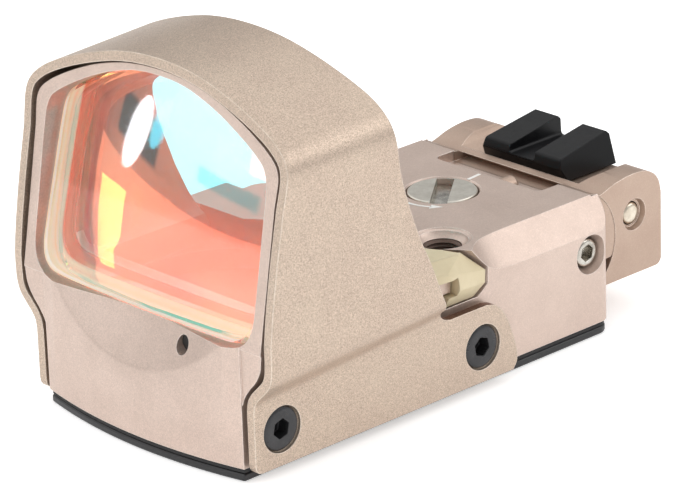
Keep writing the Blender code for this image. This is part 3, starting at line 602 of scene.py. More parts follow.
# ------------------------------------------------------------------ body
plan = [(x, -BULGE + BULGE * (x / BODY_HALF) ** 2) for x in [BODY_HALF * (-1 + 2 * i / 40) for i in range(41)]]
CHEEK = 0.85
plan += rounded([(BODY_HALF, 20.0), (BODY_HALF, BODY_REAR + CHEEK), (-BODY_HALF, BODY_REAR + CHEEK), (-BODY_HALF, 20.0)], [0, 1.5, 1.5, 0], 12)[1:-1]
body = prism("body", plan, "XY", BODY_BOTTOM, DECK_Z)
cut(body, box("between_cheeks", (-10.78, 10.78), (BODY_REAR, 60.0), (-5.0, 30.0)))
cut(body, box("shoulder", (-14.80, -12.0), (20.41, 25.5), (6.2, DECK_Z)), operation="UNION")
frame_side = flow([(12.60, 6.90), (12.85, 7.60), (13.55, 8.60), (14.35, 9.50), (14.95, 10.60), (15.15, 11.90)], 4)
frame_top = flow([(15.15, 24.60), (15.26, 25.90), (15.26, 26.90), (14.90, 27.75), (13.75, 28.68), (12.35, 29.45), (11.00, 30.10),
                  (9.60, 30.68), (8.30, 31.16), (6.90, 31.58), (5.50, 31.93), (4.00, 32.22), (2.50, 32.39), (1.20, 32.47), (0, 32.50)], 3)
low_half = [(0, 5.0), (12.60, 5.0)] + frame_side + [(FRAME_HALF, 12.30), (0, 12.30)]
low_outline = low_half + [(-x, z) for x, z in reversed(low_half) if x > 1e-6]
cut(body, loft("foot", [[(x, 0.12, z) for x, z in low_outline], [(x, glass_lean(z) + FRAME_BACK, z) for x, z in low_outline]]), operation="UNION")
frame_outline = mirrored([(0, 12.05), (FRAME_HALF, 12.05)] + frame_top)
cut(body, loft("block", [[(x, lean(z), z) for x, z in frame_outline], [(x, glass_lean(z) + FRAME_BACK, z) for x, z in frame_outline]]), operation="UNION")
knuckle = [(43.90, 5.95), (46.60, 5.95)] + [
    (PIVOT_Y + KNUCKLE_R * math.cos(math.radians(a)), PIVOT_Z + KNUCKLE_R * math.sin(math.radians(a)))
    for a in [-22 + 3.725 * i for i in range(25)] if PIVOT_Z + KNUCKLE_R * math.sin(math.radians(a)) < 12.62
] + [(43.90, 12.64)]
tail = prism("rear_knuckle", knuckle, "YZ", -10.62, 10.62)

lens_half = [(0, 11.72)] + flow([(8.0, 11.78), (11.2, 11.92), (12.55, 12.22), (13.45, 12.95), (13.92, 14.2), (14.02, 16.5)], 4) + \
    flow([(14.02, 20.0), (14.00, 25.00), (13.88, 26.40), (13.40, 27.40), (12.25, 28.25), (10.90, 29.00), (9.50, 29.68), (8.20, 30.27), (6.80, 30.80),
          (5.40, 31.25), (4.00, 31.62), (2.60, 31.86), (1.30, 31.97), (0, 32.00)], 4)
lens_outline = mirrored(lens_half)


def scaled(outline, shrink):
    cx, cz, hx, hz = 0.0, 21.7, 14.02, 9.95
    return [(cx + (x - cx) * (1 - shrink / hx), cz + (z - cz) * (1 - shrink / hz)) for x, z in outline]


cut(body, leaned("pocket", lens_outline, -8.0, GLASS_BACK + 0.45, glass_lean))
cut(body, leaned("aperture", scaled(lens_outline, 1.0), 3.0, 9.0, glass_lean))
dish = []
for radius, t in [(15.15, None)] + [(15.15 - 0.4 * i, i / 11.0) for i in range(12)] + [(6.0, 1.0), (0.4, 1.0)]:
    ring = []
    for i in range(144):
        c, d = radius * math.cos(2 * math.pi * i / 144), radius * math.sin(2 * math.pi * i / 144)
        face = -BULGE + BULGE * (c / BODY_HALF) ** 2
        ring.append((c, -9.0 if t is None else face - 0.02 + 2.35 * t, 22.45 + d))
    dish.append(ring)
cut(body, loft("dish", dish))
well = [(10.4 * math.cos(math.pi * i / 48), 12.6 + 10.4 * math.sin(math.pi * i / 48)) for i in range(49)] + [(-10.4, 7.2), (10.4, 7.2)]
cut(body, prism("front_well", well, "XY", 8.0, 20.0))
cut(body, prism("well_relief", [(-20, 9.9), (-10.0, 9.9), (10.0, 9.9), (20, 9.9), (20, 20), (-20, 20)], "XZ", 9.3, 20.4))
arm_slot = [(39.6, 4.6), (48.5, 4.6), (48.5, 13.6), (46.2, 13.6), (42.6, 11.1), (39.6, 11.1)]
RUN_OUT = [(26.7, 0.0), (27.1, 0.05), (27.4, 0.13), (27.8, 0.29), (28.2, 0.46), (28.7, 0.62), (29.2, 0.75), (29.8, 0.85), (30.5, 0.92), (31.4, 0.97), (32.6, 0.995), (33.6, 1.0), (46.0, 1.0)]
for side in (1, -1):
    runs = []
    for y, f in RUN_OUT:
        x_in, z_in = BODY_HALF - CHAMFER_X * f, DECK_Z - CHAMFER_Z * f
        runs.append([(side * x_in, y, DECK_Z), (side * BODY_HALF, y, z_in), (side * (BODY_HALF + 3), y, z_in), (side * (BODY_HALF + 3), y, DECK_Z + 3), (side * x_in, y, DECK_Z + 3)])
    cut(body, loft(f"deck_chamfer{side}", runs))
    cut(body, turned(f"mount{side}", (side * MOUNT_X, MOUNT_Y, 0), "Z", [(-1, 1.70)] + [(7.2 + 0.36 * i + d, r) for i in range(13) for d, r in ((0.0, 1.70), (0.17, 1.48))] + [(11.90, 1.74), (12.00, 1.74), (12.08, 1.86), (12.24, 2.08), (12.42, 2.27), (12.52, 2.32), (12.56, 2.50), (12.62, 2.58), (12.80, 2.72)], 72))
    cut(body, turned(f"pivot{side}", (0, PIVOT_Y, PIVOT_Z), "X", [(side * 7.8, 1.45), (side * 11.7, 1.45), (side * 12.45, 1.80), (side * 13.2, 2.0)]))
    for piece in (body, tail):
        cut(piece, prism(f"arm_pocket{side}", arm_slot, "YZ", min(side * 7.7, side * 9.65), max(side * 7.7, side * 9.65)))
bay = [((CELL_R + 0.3) * math.cos(math.pi + math.pi * i / 40), CELL_Y + (CELL_R + 0.3) * math.sin(math.pi + math.pi * i / 40)) for i in range(41)]
bay += [(CELL_R + 0.3, 48.0), (-CELL_R - 0.3, 48.0)]
for piece in (body, tail):
    cut(piece, prism("bay", bay, "XY", 2.0, 5.7), prism("rear_recess", rounded([(-6.45, 41.42), (6.75, 41.42), (6.75, 48.0), (-6.45, 48.0)], [0.7, 0.7, 0, 0]), "XY", 11.65, 14.0))
    cut(piece, turned("plunger_bore", (1.8, 0, 10.80), "Y", [(39.6, 1.28), (42.55, 1.28), (42.56, 0.72), (48.0, 0.72)], 40))
cut(body, box("module_cavity", (-5.2, 5.2), (24.5, 39.3), (6.3, 11.2)))
cut(body, box("window_opening", (-3.0, 3.0), (20.0, 26.0), (8.3, 11.05)))
cut(body, turned("dial_seat", (0, DIAL_Y, 0), "Z", [(10.5, 1.35), (11.85, 1.35), (11.86, 3.34), (12.55, 3.34), (12.80, 3.60)], 96))
cut(body, turned("wind_seat", (0, WIND_Y, WIND_Z), "X", [(-4.5, 1.15), (-10.7, 1.15), (-10.71, 2.05), (-12.4, 2.05), (-12.9, 2.35)]))
POCKET_LOW = [
    (11.0, 20.9, 8.33), (10.95, 26.90, 8.33), (10.95, 27.25, 9.25), (10.95, 27.25, 10.80), (10.95, 26.45, 12.0), (11.0, 20.9, 12.0), (11.0, 20.9, 14.5), (10.95, 24.95, 14.5),
    (12.0, 28.76, 10.69), (12.0, 28.70, 9.25), (12.0, 27.22, 8.33),
    (16.0, 31.12, 10.69), (16.0, 31.05, 9.25), (16.0, 29.45, 8.33), (16.0, 27.92, 14.5), (16.0, 20.9, 8.33), (16.0, 20.9, 14.5),
]
POCKET_TOP = [
    (8.6, 20.9, 12.30), (8.6, 25.17, 12.30), (8.6, 23.32, 14.5), (8.6, 20.9, 14.5),
    (12.4, 20.9, 12.00), (12.4, 27.79, 12.0), (12.4, 25.67, 14.5), (12.4, 20.9, 14.5),
]
cut(body, hull("pocket_low", POCKET_LOW), hull("pocket_top", POCKET_TOP))
cut(body, box("lug_foot", (10.6, BODY_HALF), (20.0, 23.50), (8.1, 9.80)), box("lug", (12.0, BODY_HALF), (20.0, 24.45), (9.72, 11.00)), operation="UNION")
cut(body, box("switch_pocket", (7.2, 12.0), (20.9, 23.9), (9.0, 11.7)))
cut(body, turned("sensor_bore", (5.7, 0, 10.55), "Y", [(-4.0, 0.80), (1.9, 0.80)], 40))
tunnel_side = [(5.9, 9.8), (20.3, 9.8), (19.9, 11.6), (19.2, 13.0), (18.1, 15.2), (17.0, 17.6), (16.05, 20.2), (15.3, 22.6), (14.65, 25.6), (13.6, 33.0), (12.1, 33.0)]
tunnel = prism("tunnel", [(x * 0.985, 9.8 if z < 12.5 else 12.05 + (z - 12.05) * 0.985) for x, z in frame_outline], "XZ", 4.6, 30.0)
cut(tunnel, prism("tunnel_side", tunnel_side, "YZ", -20, 20), operation="INTERSECT")
cut(tunnel, prism("tunnel_bore", [(x * 0.835, 9.0 if z < 12.5 else 12.0 + (z - 12.0) * 0.91) for x, z in lens_outline], "XZ", 3.0, 40.0))
bake(tunnel)
cut(body, tunnel, operation="UNION")
bake(body)
body.data.materials.clear()
show(body, "body", "housing", "body_housing")
# Faces inside the mount bores, the front well and the lens tunnel (not the flat tops) take the darker well material:
# painted shade in the recesses.
body.data.materials.append(M["well"])
for poly in body.data.polygons:
    corners = [body.data.vertices[i].co * 1000.0 + Vector((0, Y_CENTRE, 0)) for i in poly.vertices]
    in_bore = all(math.hypot(abs(c.x) - MOUNT_X, c.y - MOUNT_Y) < 1.80 and c.z < 12.03 for c in corners)
    in_well = all(6.0 < c.y < 23.3 and 7.6 < c.z < DECK_Z + 0.01 and abs(c.x) < 12.8 for c in corners)
    in_tunnel = all(6.2 < c.y < 20.42 and c.z > 8.9 for c in corners)
    flat_top = poly.normal.z > 0.99 and poly.center.z > 0.0125
    poly.material_index = 1 if in_bore or (in_well or in_tunnel) and not flat_top else 0
cut(tail, turned("boss", (1.8, 0, 11.72), "Y", [(41.30, 0.88), (43.0, 0.88), (43.25, 0.70), (43.28, 0.30)], 40), operation="UNION")
cut(tail, box("boss_root", (1.2, 2.4), (41.2, 43.2), (10.8, 12.0)), operation="UNION")
bake(tail)
show(tail, "door", "housing")

# ------------------------------------------------------------------ base and gasket
plate = [(x * 0.992, y + 0.12 if y < 20 else y - 0.12) for x, y in plan]
base = prism("base", plate, "XY", 0.0, 0.68)
for side in (1, -1):
    cut(base, turned(f"plate_hole{side}", (side * MOUNT_X, MOUNT_Y, 0), "Z", [(-1, 1.72), (1, 1.72)]))
bake(base)
soften(base, 0.14, 2, 50)
show(base, "base", "housing", "base_plate")
gasket = prism("gasket", [(x * 0.988, y + 0.18 if y < 20 else y - 0.18) for x, y in plan], "XY", 0.72, 1.16)
for side in (1, -1):
    cut(gasket, turned(f"gasket_hole{side}", (side * MOUNT_X, MOUNT_Y, 0), "Z", [(0.3, 2.1), (1.6, 2.1)]))
bake(gasket)
soften(gasket, 0.08, 2, 50)
show(gasket, "rubber", "housing", "base_gasket")

# ------------------------------------------------------------------ objective
glass_outline = scaled(lens_outline, 0.12)


def bowl(x, z, centre):
    return 54.0 - math.sqrt(54.0 ** 2 - x ** 2 - (z - centre) ** 2)


def element(name, front, back, bevel_front, bevel_back, face_material, levels=14):
    """Glass between two surfaces, with ground bevels; the coated or contact face has its own material slot."""
    bm = bmesh.new()
    n = len(glass_outline)
    rims = []
    for which, surface, bevel in (("front", front, bevel_front), ("back", back, bevel_back)):
        rings = []
        shrink = [(1.0 - bevel / 12.0)] + [k / levels * (1.0 - bevel / 12.0) for k in range(levels - 1, 0, -1)]
        for f in shrink:
            rings.append([bm.verts.new(at(x * f, glass_lean(21.7 + (z - 21.7) * f) + surface(x * f, 21.7 + (z - 21.7) * f), 21.7 + (z - 21.7) * f)) for x, z in glass_outline])
        centre = bm.verts.new(at(0, glass_lean(21.7) + surface(0, 21.7), 21.7))
        faces = []
        for a, b in zip(rings, rings[1:]):
            for i in range(n):
                faces.append(bm.faces.new((a[i], a[(i + 1) % n], b[(i + 1) % n], b[i])))
        for i in range(n):
            faces.append(bm.faces.new((rings[-1][i], rings[-1][(i + 1) % n], centre)))
        if which == face_material[0]:
            for f in faces:
                f.material_index = 1
        sign = 1 if which == "front" else -1
        outer = rings[0]
        if bevel > 0.01:
            outer = [bm.verts.new(at(x, glass_lean(z) + surface(x, z) + sign * bevel, z)) for x, z in glass_outline]
            for i in range(n):
                bm.faces.new((rings[0][i], rings[0][(i + 1) % n], outer[(i + 1) % n], outer[i]))
        rims.append(outer)
    a, b = rims
    for i in range(n):
        bm.faces.new((a[i], b[i], b[(i + 1) % n], a[(i + 1) % n])).material_index = 2
    obj = finish(name, bm)
    shade(obj, 25)
    for material in ("glass", face_material[1], "ground"):
        obj.data.materials.append(M[material])
    return obj


GLASS_FRONT = -0.80
front_glass = element("front_glass", lambda x, z: GLASS_FRONT, lambda x, z: -0.40 + bowl(x, z, 21.7) * 0.6, 0.32, 0.0, ("back", "coating"))
rear_glass = element("rear_glass", lambda x, z: -0.38 + bowl(x, z, 21.7) * 0.6, lambda x, z: GLASS_BACK, 0.0, 0.30, ("front", "contact_face"))
outer = bmesh.new()
face = [outer.verts.new(at(x, glass_lean(z) + GLASS_FRONT - 0.02, z)) for x, z in scaled(glass_outline, 0.40)]
outer.faces.new(face)
outer_film = finish("outer_film", outer)
outer_film.data.materials.append(M["film"])
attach(outer_film, "housing")
for obj, node in ((front_glass, "front_lens"), (rear_glass, "rear_lens")):
    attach(obj, "housing")
    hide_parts(node)
seal = leaned("seal", glass_outline, GLASS_BACK + 0.08, GLASS_BACK + 0.38, glass_lean)
cut(seal, leaned("seal_inner", scaled(lens_outline, 0.95), 3.5, 6.0, glass_lean))
bake(seal)
show(seal, "rubber", "housing", "lens_seal")

# ------------------------------------------------------------------ hood screws
for side, tag in ((1, "left"), (-1, "right")):
    for y, end in zip(SCREW_Y, ("front", "rear")):
        centre = (side * FLANGE_OUT, y, SCREW_Z)
        screw = turned(f"screw_{tag}_{end}", centre, "X", [
            (-side * 0.10, 1.20), (-side * 0.08, 1.50), (-side * 0.12, 1.74), (-side * 0.20, 1.90), (-side * 0.30, 1.95), (-side * 0.40, 1.92),
            (-side * 0.92, 1.28), (-side * 4.6, 1.25), (-side * 4.9, 0.95)], 72)
        cut(screw, turned(f"hex_{tag}_{end}", centre, "X", [(side * 0.5, 0.98), (-side * 0.35, 0.90), (-side * 1.3, 0.90)], 6, phase=math.radians(17 if end == "front" else 41)))
        bake(screw, 28)
        soften(screw, 0.05, 2, 40)
        show(screw, "black_screw", "housing", f"hood_screw_{tag}_{end}")

# ------------------------------------------------------------------ dial, windage screw, pivots, pins
dial = turned("dial", (0, DIAL_Y, 0), "Z", [
    (8.6, 0.85), (8.75, 1.0), (11.90, 1.0), (11.91, DIAL_R - 0.05), (12.0, DIAL_R), (12.50, DIAL_R), (12.62, DIAL_R - 0.03), (12.70, DIAL_R - 0.11), (12.72, DIAL_R - 0.22)], 128)
turn = Matrix.Rotation(math.radians(-51), 2)
slot = [tuple(Vector((0, DIAL_Y)) + turn @ Vector(p)) for p in ((-3.3, -0.80), (3.3, -0.80), (3.3, 0.80), (-3.3, 0.80))]
cut(dial, prism("dial_slot", slot, "XY", 11.98, 13.5))
bake(dial)
dial.data.materials.clear()
soften(dial, 0.05, 2, 40)
show(dial, "dial", "elevation_drive", "elevation_dial")
dial.data.materials.append(M["slot_floor"])
for poly in dial.data.polygons:
    if poly.center.z < 0.01245 and poly.center.z > 0.0119 and abs(poly.normal.z) > 0.5 and (poly.center - at(0, DIAL_Y, poly.center.z * 1000)).length < 0.00315:
        poly.material_index = 1
wind = turned("windage", (0, WIND_Y, WIND_Z), "X",
              [(-4.3, 0.75), (-4.45, 0.9), (-10.80, 0.9), (-10.81, 1.78), (-11.50, 1.80), (-11.62, 1.76), (-11.70, 1.66)], 72)
cut(wind, box("wind_slot", (-13.0, -11.25), (WIND_Y - 0.3, WIND_Y + 0.3), (WIND_Z - 1.9, WIND_Z + 1.9)))
bake(wind)
soften(wind, 0.05, 2, 40)
show(wind, "steel", "windage_drive", "windage_screw")
for side, tag in ((1, "left"), (-1, "right")):
    pivot = turned(f"pivot_{tag}", (0, PIVOT_Y, PIVOT_Z), "X", [
        (side * 7.95, 0.80), (side * 8.1, 0.95), (side * 9.7, 0.95), (side * 9.8, 1.30), (side * 11.80, 1.30), (side * 11.98, 1.24), (side * 12.08, 1.12), (side * 12.10, 1.02)], 72)
    cut(pivot, turned(f"pivot_hex{side}", (0, PIVOT_Y, PIVOT_Z), "X", [(side * 13.0, 0.80), (side * 11.0, 0.80)], 6, phase=0.3))
    bake(pivot)
    soften(pivot, 0.04, 2, 40)
    show(pivot, "steel", "housing", f"door_pivot_{tag}")
pin = turned("sight_pin", (0, 49.75, 9.15), "X", [(-10.36, 0.45), (-10.33, 0.72), (-10.24, 0.92), (-10.12, 1.0), (10.12, 1.0), (10.24, 0.92), (10.33, 0.72), (10.36, 0.45)], 72)
shade(pin, 40)
show(pin, "pin", "door", "sight_cross_pin")
plunger = turned("plunger", (1.8, 0, 10.80), "Y", [(40.75, 1.1), (42.0, 1.2), (42.2, 1.17), (42.33, 1.08), (42.36, 0.95), (42.36, 0.60), (45.70, 0.60), (45.88, 0.5), (45.95, 0.36)], 64)
shade(plunger, 40)
show(plunger, "pin", "plunger", "detent_plunger")

# ------------------------------------------------------------------ button
BUTTON_LOW = [
    (11.5, 21.3, 8.62), (11.5, 26.10, 8.62), (11.5, 26.75, 9.35), (11.5, 26.85, 10.60), (11.5, 21.3, 12.3), (11.5, 25.75, 12.3),
    (11.8, 26.50, 12.60), (12.6, 28.75, 10.55), (12.6, 28.70, 9.40), (12.6, 27.15, 8.50),
    (12.6, 21.3, 8.50), (13.45, 25.95, 9.95), (13.60, 24.30, 10.15), (13.55, 23.20, 11.85), (13.25, 22.0, 12.20), (13.3, 21.3, 11.2),
    (11.9, 21.3, 12.95), (11.6, 25.9, 12.70),
]
BUTTON_TOP = [
    (9.08, 21.3, 12.62), (9.08, 24.75, 12.62), (9.08, 24.60, 12.85), (9.08, 21.3, 12.95),
    (12.0, 21.3, 12.25), (12.0, 26.0, 12.25), (12.0, 26.4, 12.62), (12.0, 21.3, 12.95), (10.7, 25.5, 12.82),
]
button = hull("button", BUTTON_LOW)
cut(button, hull("crown", BUTTON_TOP), operation="UNION")
cut(button, box("notch", (11.78, 16.0), (19.0, 24.66), (9.50, 11.22)), box("foot_notch", (9.0, 16.0), (19.0, 23.70), (8.0, 10.08)))
cut(button, turned("stem", (0, 22.4, 10.75), "X", [(10.62, 0.5), (11.75, 0.5)], 24), operation="UNION")
bake(button, 20)
show(button, "button", "button", "power_button")

# ------------------------------------------------------------------ battery door
profile = [(44.32, 1.75)]
for i in range(33):
    t = math.radians(-63.5 + (53.5 + 63.5) * i / 32)
    profile.append((PIVOT_Y + RELIEF_R * math.cos(t), PIVOT_Z + RELIEF_R * math.sin(t)))
profile += flow([(45.32, 12.24), (45.90, 12.40), (47.00, 12.74), (48.60, 13.02), (50.00, 13.08), (51.30, 12.92), (52.35, 12.38), (53.02, 11.55), (DOOR_REAR, 10.40)], 4)
profile += rounded([(DOOR_REAR, 10.0), (DOOR_REAR, DOOR_BOTTOM), (45.80, DOOR_BOTTOM)], [0, 0.75, 0], 8)[1:-1] + [(45.80, DOOR_BOTTOM), (45.75, 1.75)]
door = prism("door", profile, "YZ", -DOOR_HALF, DOOR_HALF)
for side in (1, -1):
    cut(door, box(f"lip_end{side}", (min(side * 9.0, side * 12.0), max(side * 9.0, side * 12.0)), (43.0, 46.5), (0.5, DOOR_BOTTOM)))
    arm = [(PIVOT_Y + 2.05 * math.cos(math.radians(a)), PIVOT_Z + 2.05 * math.sin(math.radians(a))) for a in range(45, 226, 9)]
    arm += [(42.2, 5.6), (44.0, 4.9), (46.6, 4.9), (47.6, 6.0), (47.6, 7.3), (44.6, 8.5)]
    cut(door, prism(f"arm{side}", arm, "YZ", min(side * ARM_X[0], side * ARM_X[1]), max(side * ARM_X[0], side * ARM_X[1])), operation="UNION")
    cut(door, turned(f"arm_bore{side}", (0, PIVOT_Y, PIVOT_Z), "X", [(side * 7.0, 1.2), (side * 10.0, 1.2)], 32))
    cut(door, turned(f"pin_recess{side}", (0, 49.75, 9.15), "X", [(side * 10.1, 1.30), (side * 10.35, 1.36), (side * 11.2, 1.75)], 64))
channel_half = flow([(5.2, 11.62), (5.9, 11.66), (6.6, 11.86), (7.3, 12.30), (7.9, 12.82), (8.5, 13.14), (9.2, 13.26), (10.0, 13.4)], 4)
channel = [(-x, z) for x, z in reversed(channel_half)] + channel_half + [(10.0, 17.0), (-10.0, 17.0)]
cut(door, prism("sight_channel", channel, "XZ", 45.9, 56.0))
cut(door, turned("cross_pin_bore", (0, 49.75, 9.15), "X", [(-12.0, 1.12), (12.0, 1.12)], 48))
bake(door)
soften(door, 0.12, 2, 40)
show(door, "door", "door", "battery_door")

# ------------------------------------------------------------------ notch sight
saddle = rounded([(46.80, 11.80), (46.20, 12.95), (46.38, 13.85), (52.7, 14.90), (53.08, 14.55), (53.18, 11.80)], [0, 0.25, 0.35, 0.25, 0.25, 0], 5)
sight = prism("sight", saddle, "YZ", -6.4, 6.4)
cut(sight, prism("notch_cut", rounded([(-1.62, 18.0), (-1.55, 13.05), (1.55, 13.05), (1.62, 18.0)], [0, 0.3, 0.3, 0], 5), "XZ", 45.0, 56.0))
for side in (1, -1):
    cut(sight, prism(f"flank{side}", [(side * 4.3, 17.0), (side * 4.45, 14.95), (side * 4.80, 13.6), (side * 5.10, 12.5), (side * 5.30, 11.75), (side * 5.35, 11.0), (side * 8.0, 11.0), (side * 8.0, 17.0)], "XZ", 45.0, 56.0))
bake(sight, 35)
soften(sight, 0.36, 4, 30)
show(sight, "black_sight", "door", "notch_sight")

# ------------------------------------------------------------------ painted index marks on the deck
def strip(name, points, width, z=DECK_Z, height=0.025):
    left, right = offset(points, width / 2), offset(points, -width / 2)
    return prism(name, left + list(reversed(right)), "XY", z - 0.02, z + height)


arc = [(4.33 * math.cos(math.radians(a)), DIAL_Y + 4.33 * math.sin(math.radians(a))) for a in range(-118, -57, 3)]
show(strip("index_arc", arc, 0.26), "paint", "housing")
tip, back = math.radians(-44), math.radians(-59)
head = [(4.33 * math.cos(tip), DIAL_Y + 4.33 * math.sin(tip)), (3.88 * math.cos(back), DIAL_Y + 3.88 * math.sin(back)), (4.80 * math.cos(back), DIAL_Y + 4.80 * math.sin(back))]
show(prism("index_arrow_head", head, "XY", DECK_Z - 0.02, DECK_Z + 0.025), "paint", "housing")
show(strip("index_line", [(-0.14, 39.45), (-0.33, 41.15)], 0.32), "paint", "housing")

# ------------------------------------------------------------------ inner pieces keep their CAD meshes and get finished materials
INNER = {
    "elevation_carriage": "inner_black", "windage_carriage": "contact", "led_emitter": "emitter", "emitter_window": "window",
    "elevation_spring": "steel", "windage_spring": "steel", "elevation_clip": "steel", "windage_clip": "steel", "circuit_board": "board",
    "coin_cell": "steel", "negative_contact": "contact", "positive_contact": "contact", "ambient_light_window": "inner_black",
    "tact_switch": "inner_black", "detent_spring": "steel",
}
for name, material in INNER.items():
    obj = NODES[name]
    obj.data.materials.clear()
    obj.data.materials.append(M[material])
    mod = obj.modifiers.new("edge_break", "BEVEL")
    mod.width = 0.04 / 1000.0
    mod.segments = 2
    mod.limit_method = "ANGLE"
    mod.angle_limit = math.radians(40)

# ------------------------------------------------------------------ stage
bm = bmesh.new()
bmesh.ops.create_grid(bm, x_segments=8, y_segments=8, size=3.0)
floor = finish("floor", bm)
floor.location = (0, 0, -0.00005)
g = Graph("floor_paper")
g.link(g.mix(g.spread(g.noise(0.02, 3.0), 0.3, 0.7), (0.90, 0.90, 0.90, 1), (0.93, 0.93, 0.93, 1)), g.shader.inputs["Base Color"])
g.shader.inputs["Roughness"].default_value = 0.9
g.shader.inputs["Specular IOR Level"].default_value = 0.1
g.shader.inputs["Emission Color"].default_value = (1, 1, 1, 1)
g.shader.inputs["Emission Strength"].default_value = 0.45
floor.data.materials.append(g.mat)

world = bpy.data.worlds.new("studio")
bpy.context.scene.world = world
world.use_nodes = True
tree = world.node_tree
background = tree.nodes["Background"]
background.inputs["Color"].default_value = (1.0, 1.0, 1.0, 1)
background.inputs["Strength"].default_value = 1.0
surround = tree.nodes.new("ShaderNodeBackground")
surround.inputs["Strength"].default_value = 1.0
aim = tree.nodes.new("ShaderNodeTexCoord")
split = tree.nodes.new("ShaderNodeSeparateXYZ")
tree.links.new(aim.outputs["Generated"], split.inputs[0])


def wmath(op, a, b=None):
    n = tree.nodes.new("ShaderNodeMath")
    n.operation = op
    for i, v in enumerate((a, b)):
        if isinstance(v, bpy.types.NodeSocket):
            tree.links.new(v, n.inputs[i])
        elif v is not None:
            n.inputs[i].default_value = v
    return n.outputs[0]


def wstep(value, lo, hi):
    n = tree.nodes.new("ShaderNodeMapRange")
    n.interpolation_type = "SMOOTHSTEP"
    tree.links.new(value, n.inputs[0])
    n.inputs[1].default_value, n.inputs[2].default_value = min(lo, hi), max(lo, hi)
    n.inputs[3].default_value, n.inputs[4].default_value = (0.0, 1.0) if lo < hi else (1.0, 0.0)
    return n.outputs[0]


turn_deg = wmath("MULTIPLY", wmath("ARCTAN2", split.outputs["X"], wmath("MULTIPLY", split.outputs["Y"], -1.0)), 180 / math.pi)
rise_deg = wmath("MULTIPLY", wmath("ARCSINE", split.outputs["Z"]), 180 / math.pi)


def patch(az0, az1, el0, el1, soft_az=3.0, soft_el=2.0):
    """1 inside a window of directions: az from the front (-Y) towards the left side as negative, el above the floor."""
    a = wmath("MULTIPLY", wstep(turn_deg, az0 - soft_az, az0 + soft_az), wstep(turn_deg, az1 + soft_az, az1 - soft_az))
    e = wmath("MULTIPLY", wstep(rise_deg, el0 - soft_el, el0 + soft_el), wstep(rise_deg, el1 + soft_el, el1 - soft_el))
    return wmath("MULTIPLY", a, e)


level = wmath("ADD", 0.62, wmath("MULTIPLY", wstep(rise_deg, -10, 60), 0.14))
STUDIO = [  # az0, az1, el0, el1, level, softness
    (-110, 60, -30, 2.5, 0.86, 4, 1), (-110, 50, 16, 60, 1.62, 8, 4), (100, 172, 18, 62, 1.30, 10, 8), (-60, 60, 62, 89, 0.74, 15, 8),
    (-58, 20, 2.5, 15, 0.78, 2, 1.5), (-150, -68, -25, 15, 0.55, 5, 1.5),
    (-65, -49, 2.3, 8.4, 0.14, 0.8, 0.6), (-37, -21, 4.8, 7.2, 0.30, 1.0, 0.5),
]
for az0, az1, el0, el1, value, soft_az, soft_el in STUDIO:
    window = patch(az0, az1, el0, el1, soft_az, soft_el)
    level = wmath("ADD", wmath("MULTIPLY", level, wmath("SUBTRACT", 1.0, window)), wmath("MULTIPLY", window, value))
tree.links.new(level, surround.inputs["Strength"])
path = tree.nodes.new("ShaderNodeLightPath")
choose = tree.nodes.new("ShaderNodeMixShader")
tree.links.new(path.outputs["Is Camera Ray"], choose.inputs[0])
tree.links.new(surround.outputs[0], choose.inputs[1])
tree.links.new(background.outputs[0], choose.inputs[2])
tree.links.new(choose.outputs[0], tree.nodes["World Output"].inputs["Surface"])


def softbox(name, position, target, size, power, colour=(1, 1, 1), shape="RECTANGLE"):
    data = bpy.data.lights.new(name, "AREA")
    data.shape = shape
    data.size, data.size_y = size
    data.energy = power
    data.color = colour
    obj = bpy.data.objects.new(name, data)
    bpy.context.scene.collection.objects.link(obj)
    obj.location = position
    obj.rotation_euler = (Vector(target) - Vector(position)).to_track_quat("-Z", "Y").to_euler()
    return obj


softbox("rear_right_box", (0.42, 0.46, 0.42), (0, 0, 0.01), (0.45, 0.35), 0.8)
softbox("top_box", (-0.15, 0.30, 0.65), (0, 0, 0.01), (0.6, 0.5), 0.9)
softbox("front_box", (-0.10, -0.75, 0.40), (0, 0, 0.01), (0.5, 0.5), 0.4)

def linked(obj, *receivers):
    group = bpy.data.collections.new(obj.name + "_receivers")
    for r in receivers:
        group.objects.link(r)
    obj.light_linking.receiver_collection = group
    obj.visible_camera = False
    return obj


# ------------------------------------------------------------------ camera
az, el, roll = math.radians(47.2912), math.radians(21.4554), math.radians(-1.9936)
back = Vector((math.sin(az) * math.cos(el), -math.cos(az) * math.cos(el), math.sin(el)))
right = Vector((math.cos(az), math.sin(az), 0))
up = back.cross(right)
R = right * math.cos(roll) + up * math.sin(roll)
U = -right * math.sin(roll) + up * math.cos(roll)
place = at(1.5383, 21.7388, 11.5263) + back * 0.367125393
camera_data = bpy.data.cameras.new("camera")
camera_data.sensor_width = 36.0
camera_data.lens = 4206.968 * 36.0 / 677.0
camera_data.clip_start = 0.01
camera = bpy.data.objects.new("camera", camera_data)
bpy.context.scene.collection.objects.link(camera)
camera.matrix_world = Matrix((
    (R.x, U.x, back.x, place.x),
    (R.y, U.y, back.y, place.y),
    (R.z, U.z, back.z, place.z),
    (0, 0, 0, 1),
))
bpy.context.scene.camera = camera

# small lights that only the objective shows: each sits where the film mirrors the wanted spot of the frame
FOCUS = 4206.968
film_normal = Vector((0, -1, 0.27)).normalized()
film_point = at(0, glass_lean(21.7) + GLASS_FRONT, 21.7)


def flip(v, point=True):
    if point:
        return v - 2 * (v - film_point).dot(film_normal) * film_normal
    return v - 2 * v.dot(film_normal) * film_normal


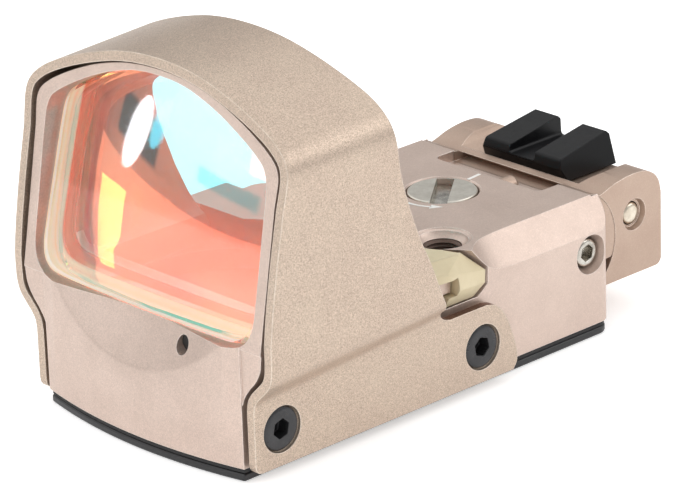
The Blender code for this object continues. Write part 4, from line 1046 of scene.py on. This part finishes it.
def glint(name, spot, size, tilt, radiance, colour, beyond=0.060, shape="ELLIPSE"):
    """A light seen in the outer film at the given spot of the frame, of the given size there."""
    start, r, u, b = flip(place), flip(R, False), flip(U, False), flip(back, False)
    ray = r * ((spot[0] - 338.5) / FOCUS) - u * ((spot[1] - 250.0) / FOCUS) - b
    far = 0.367 + beyond
    centre = start + ray * far
    w, h = size[0] * far / FOCUS, size[1] * far / FOCUS
    data = bpy.data.lights.new(name, "AREA")
    data.shape = shape
    data.size, data.size_y = w, h
    area = w * h * (math.pi / 4 if shape == "ELLIPSE" else 1.0)
    data.energy = radiance * math.pi * area
    data.color = colour
    obj = bpy.data.objects.new(name, data)
    bpy.context.scene.collection.objects.link(obj)
    t = math.radians(tilt)
    x_axis = (r * math.cos(t) - u * math.sin(t)).normalized()
    y_axis = (r * math.sin(t) + u * math.cos(t)).normalized()
    z_axis = x_axis.cross(y_axis)
    if z_axis.dot(ray) < 0:
        x_axis, z_axis = -x_axis, -z_axis
    obj.matrix_world = Matrix((
        (x_axis.x, y_axis.x, z_axis.x, centre.x),
        (x_axis.y, y_axis.y, z_axis.y, centre.y),
        (x_axis.z, y_axis.z, z_axis.z, centre.z),
        (0, 0, 0, 1),
    ))
    return obj


linked(glint("white_oval", (138.5, 131), (21, 76), 19, 24, (1.0, 0.95, 0.96)), outer_film)
linked(glint("cyan_oval", (161, 124), (15, 52), 19, 15, (0.06, 0.80, 1.0)), outer_film)

card = bpy.data.lights.new("yellow_card", "AREA")
card.shape = "RECTANGLE"
card.size, card.size_y = 0.011, 0.017
card.energy = 3.0 * math.pi * card.size * card.size_y
card.color = (0.40, 1.0, 0.36)
card_obj = bpy.data.objects.new("yellow_card", card)
bpy.context.scene.collection.objects.link(card_obj)
card_obj.location = at(-43.4, -15.5, 9.2)
card_obj.rotation_euler = (at(-8.2, 2.4, 14.5) - card_obj.location).to_track_quat("-Z", "Y").to_euler()
linked(card_obj, front_glass)
bpy.context.scene.view_settings.view_transform = "Standard"
bpy.context.scene.view_settings.look = "None"
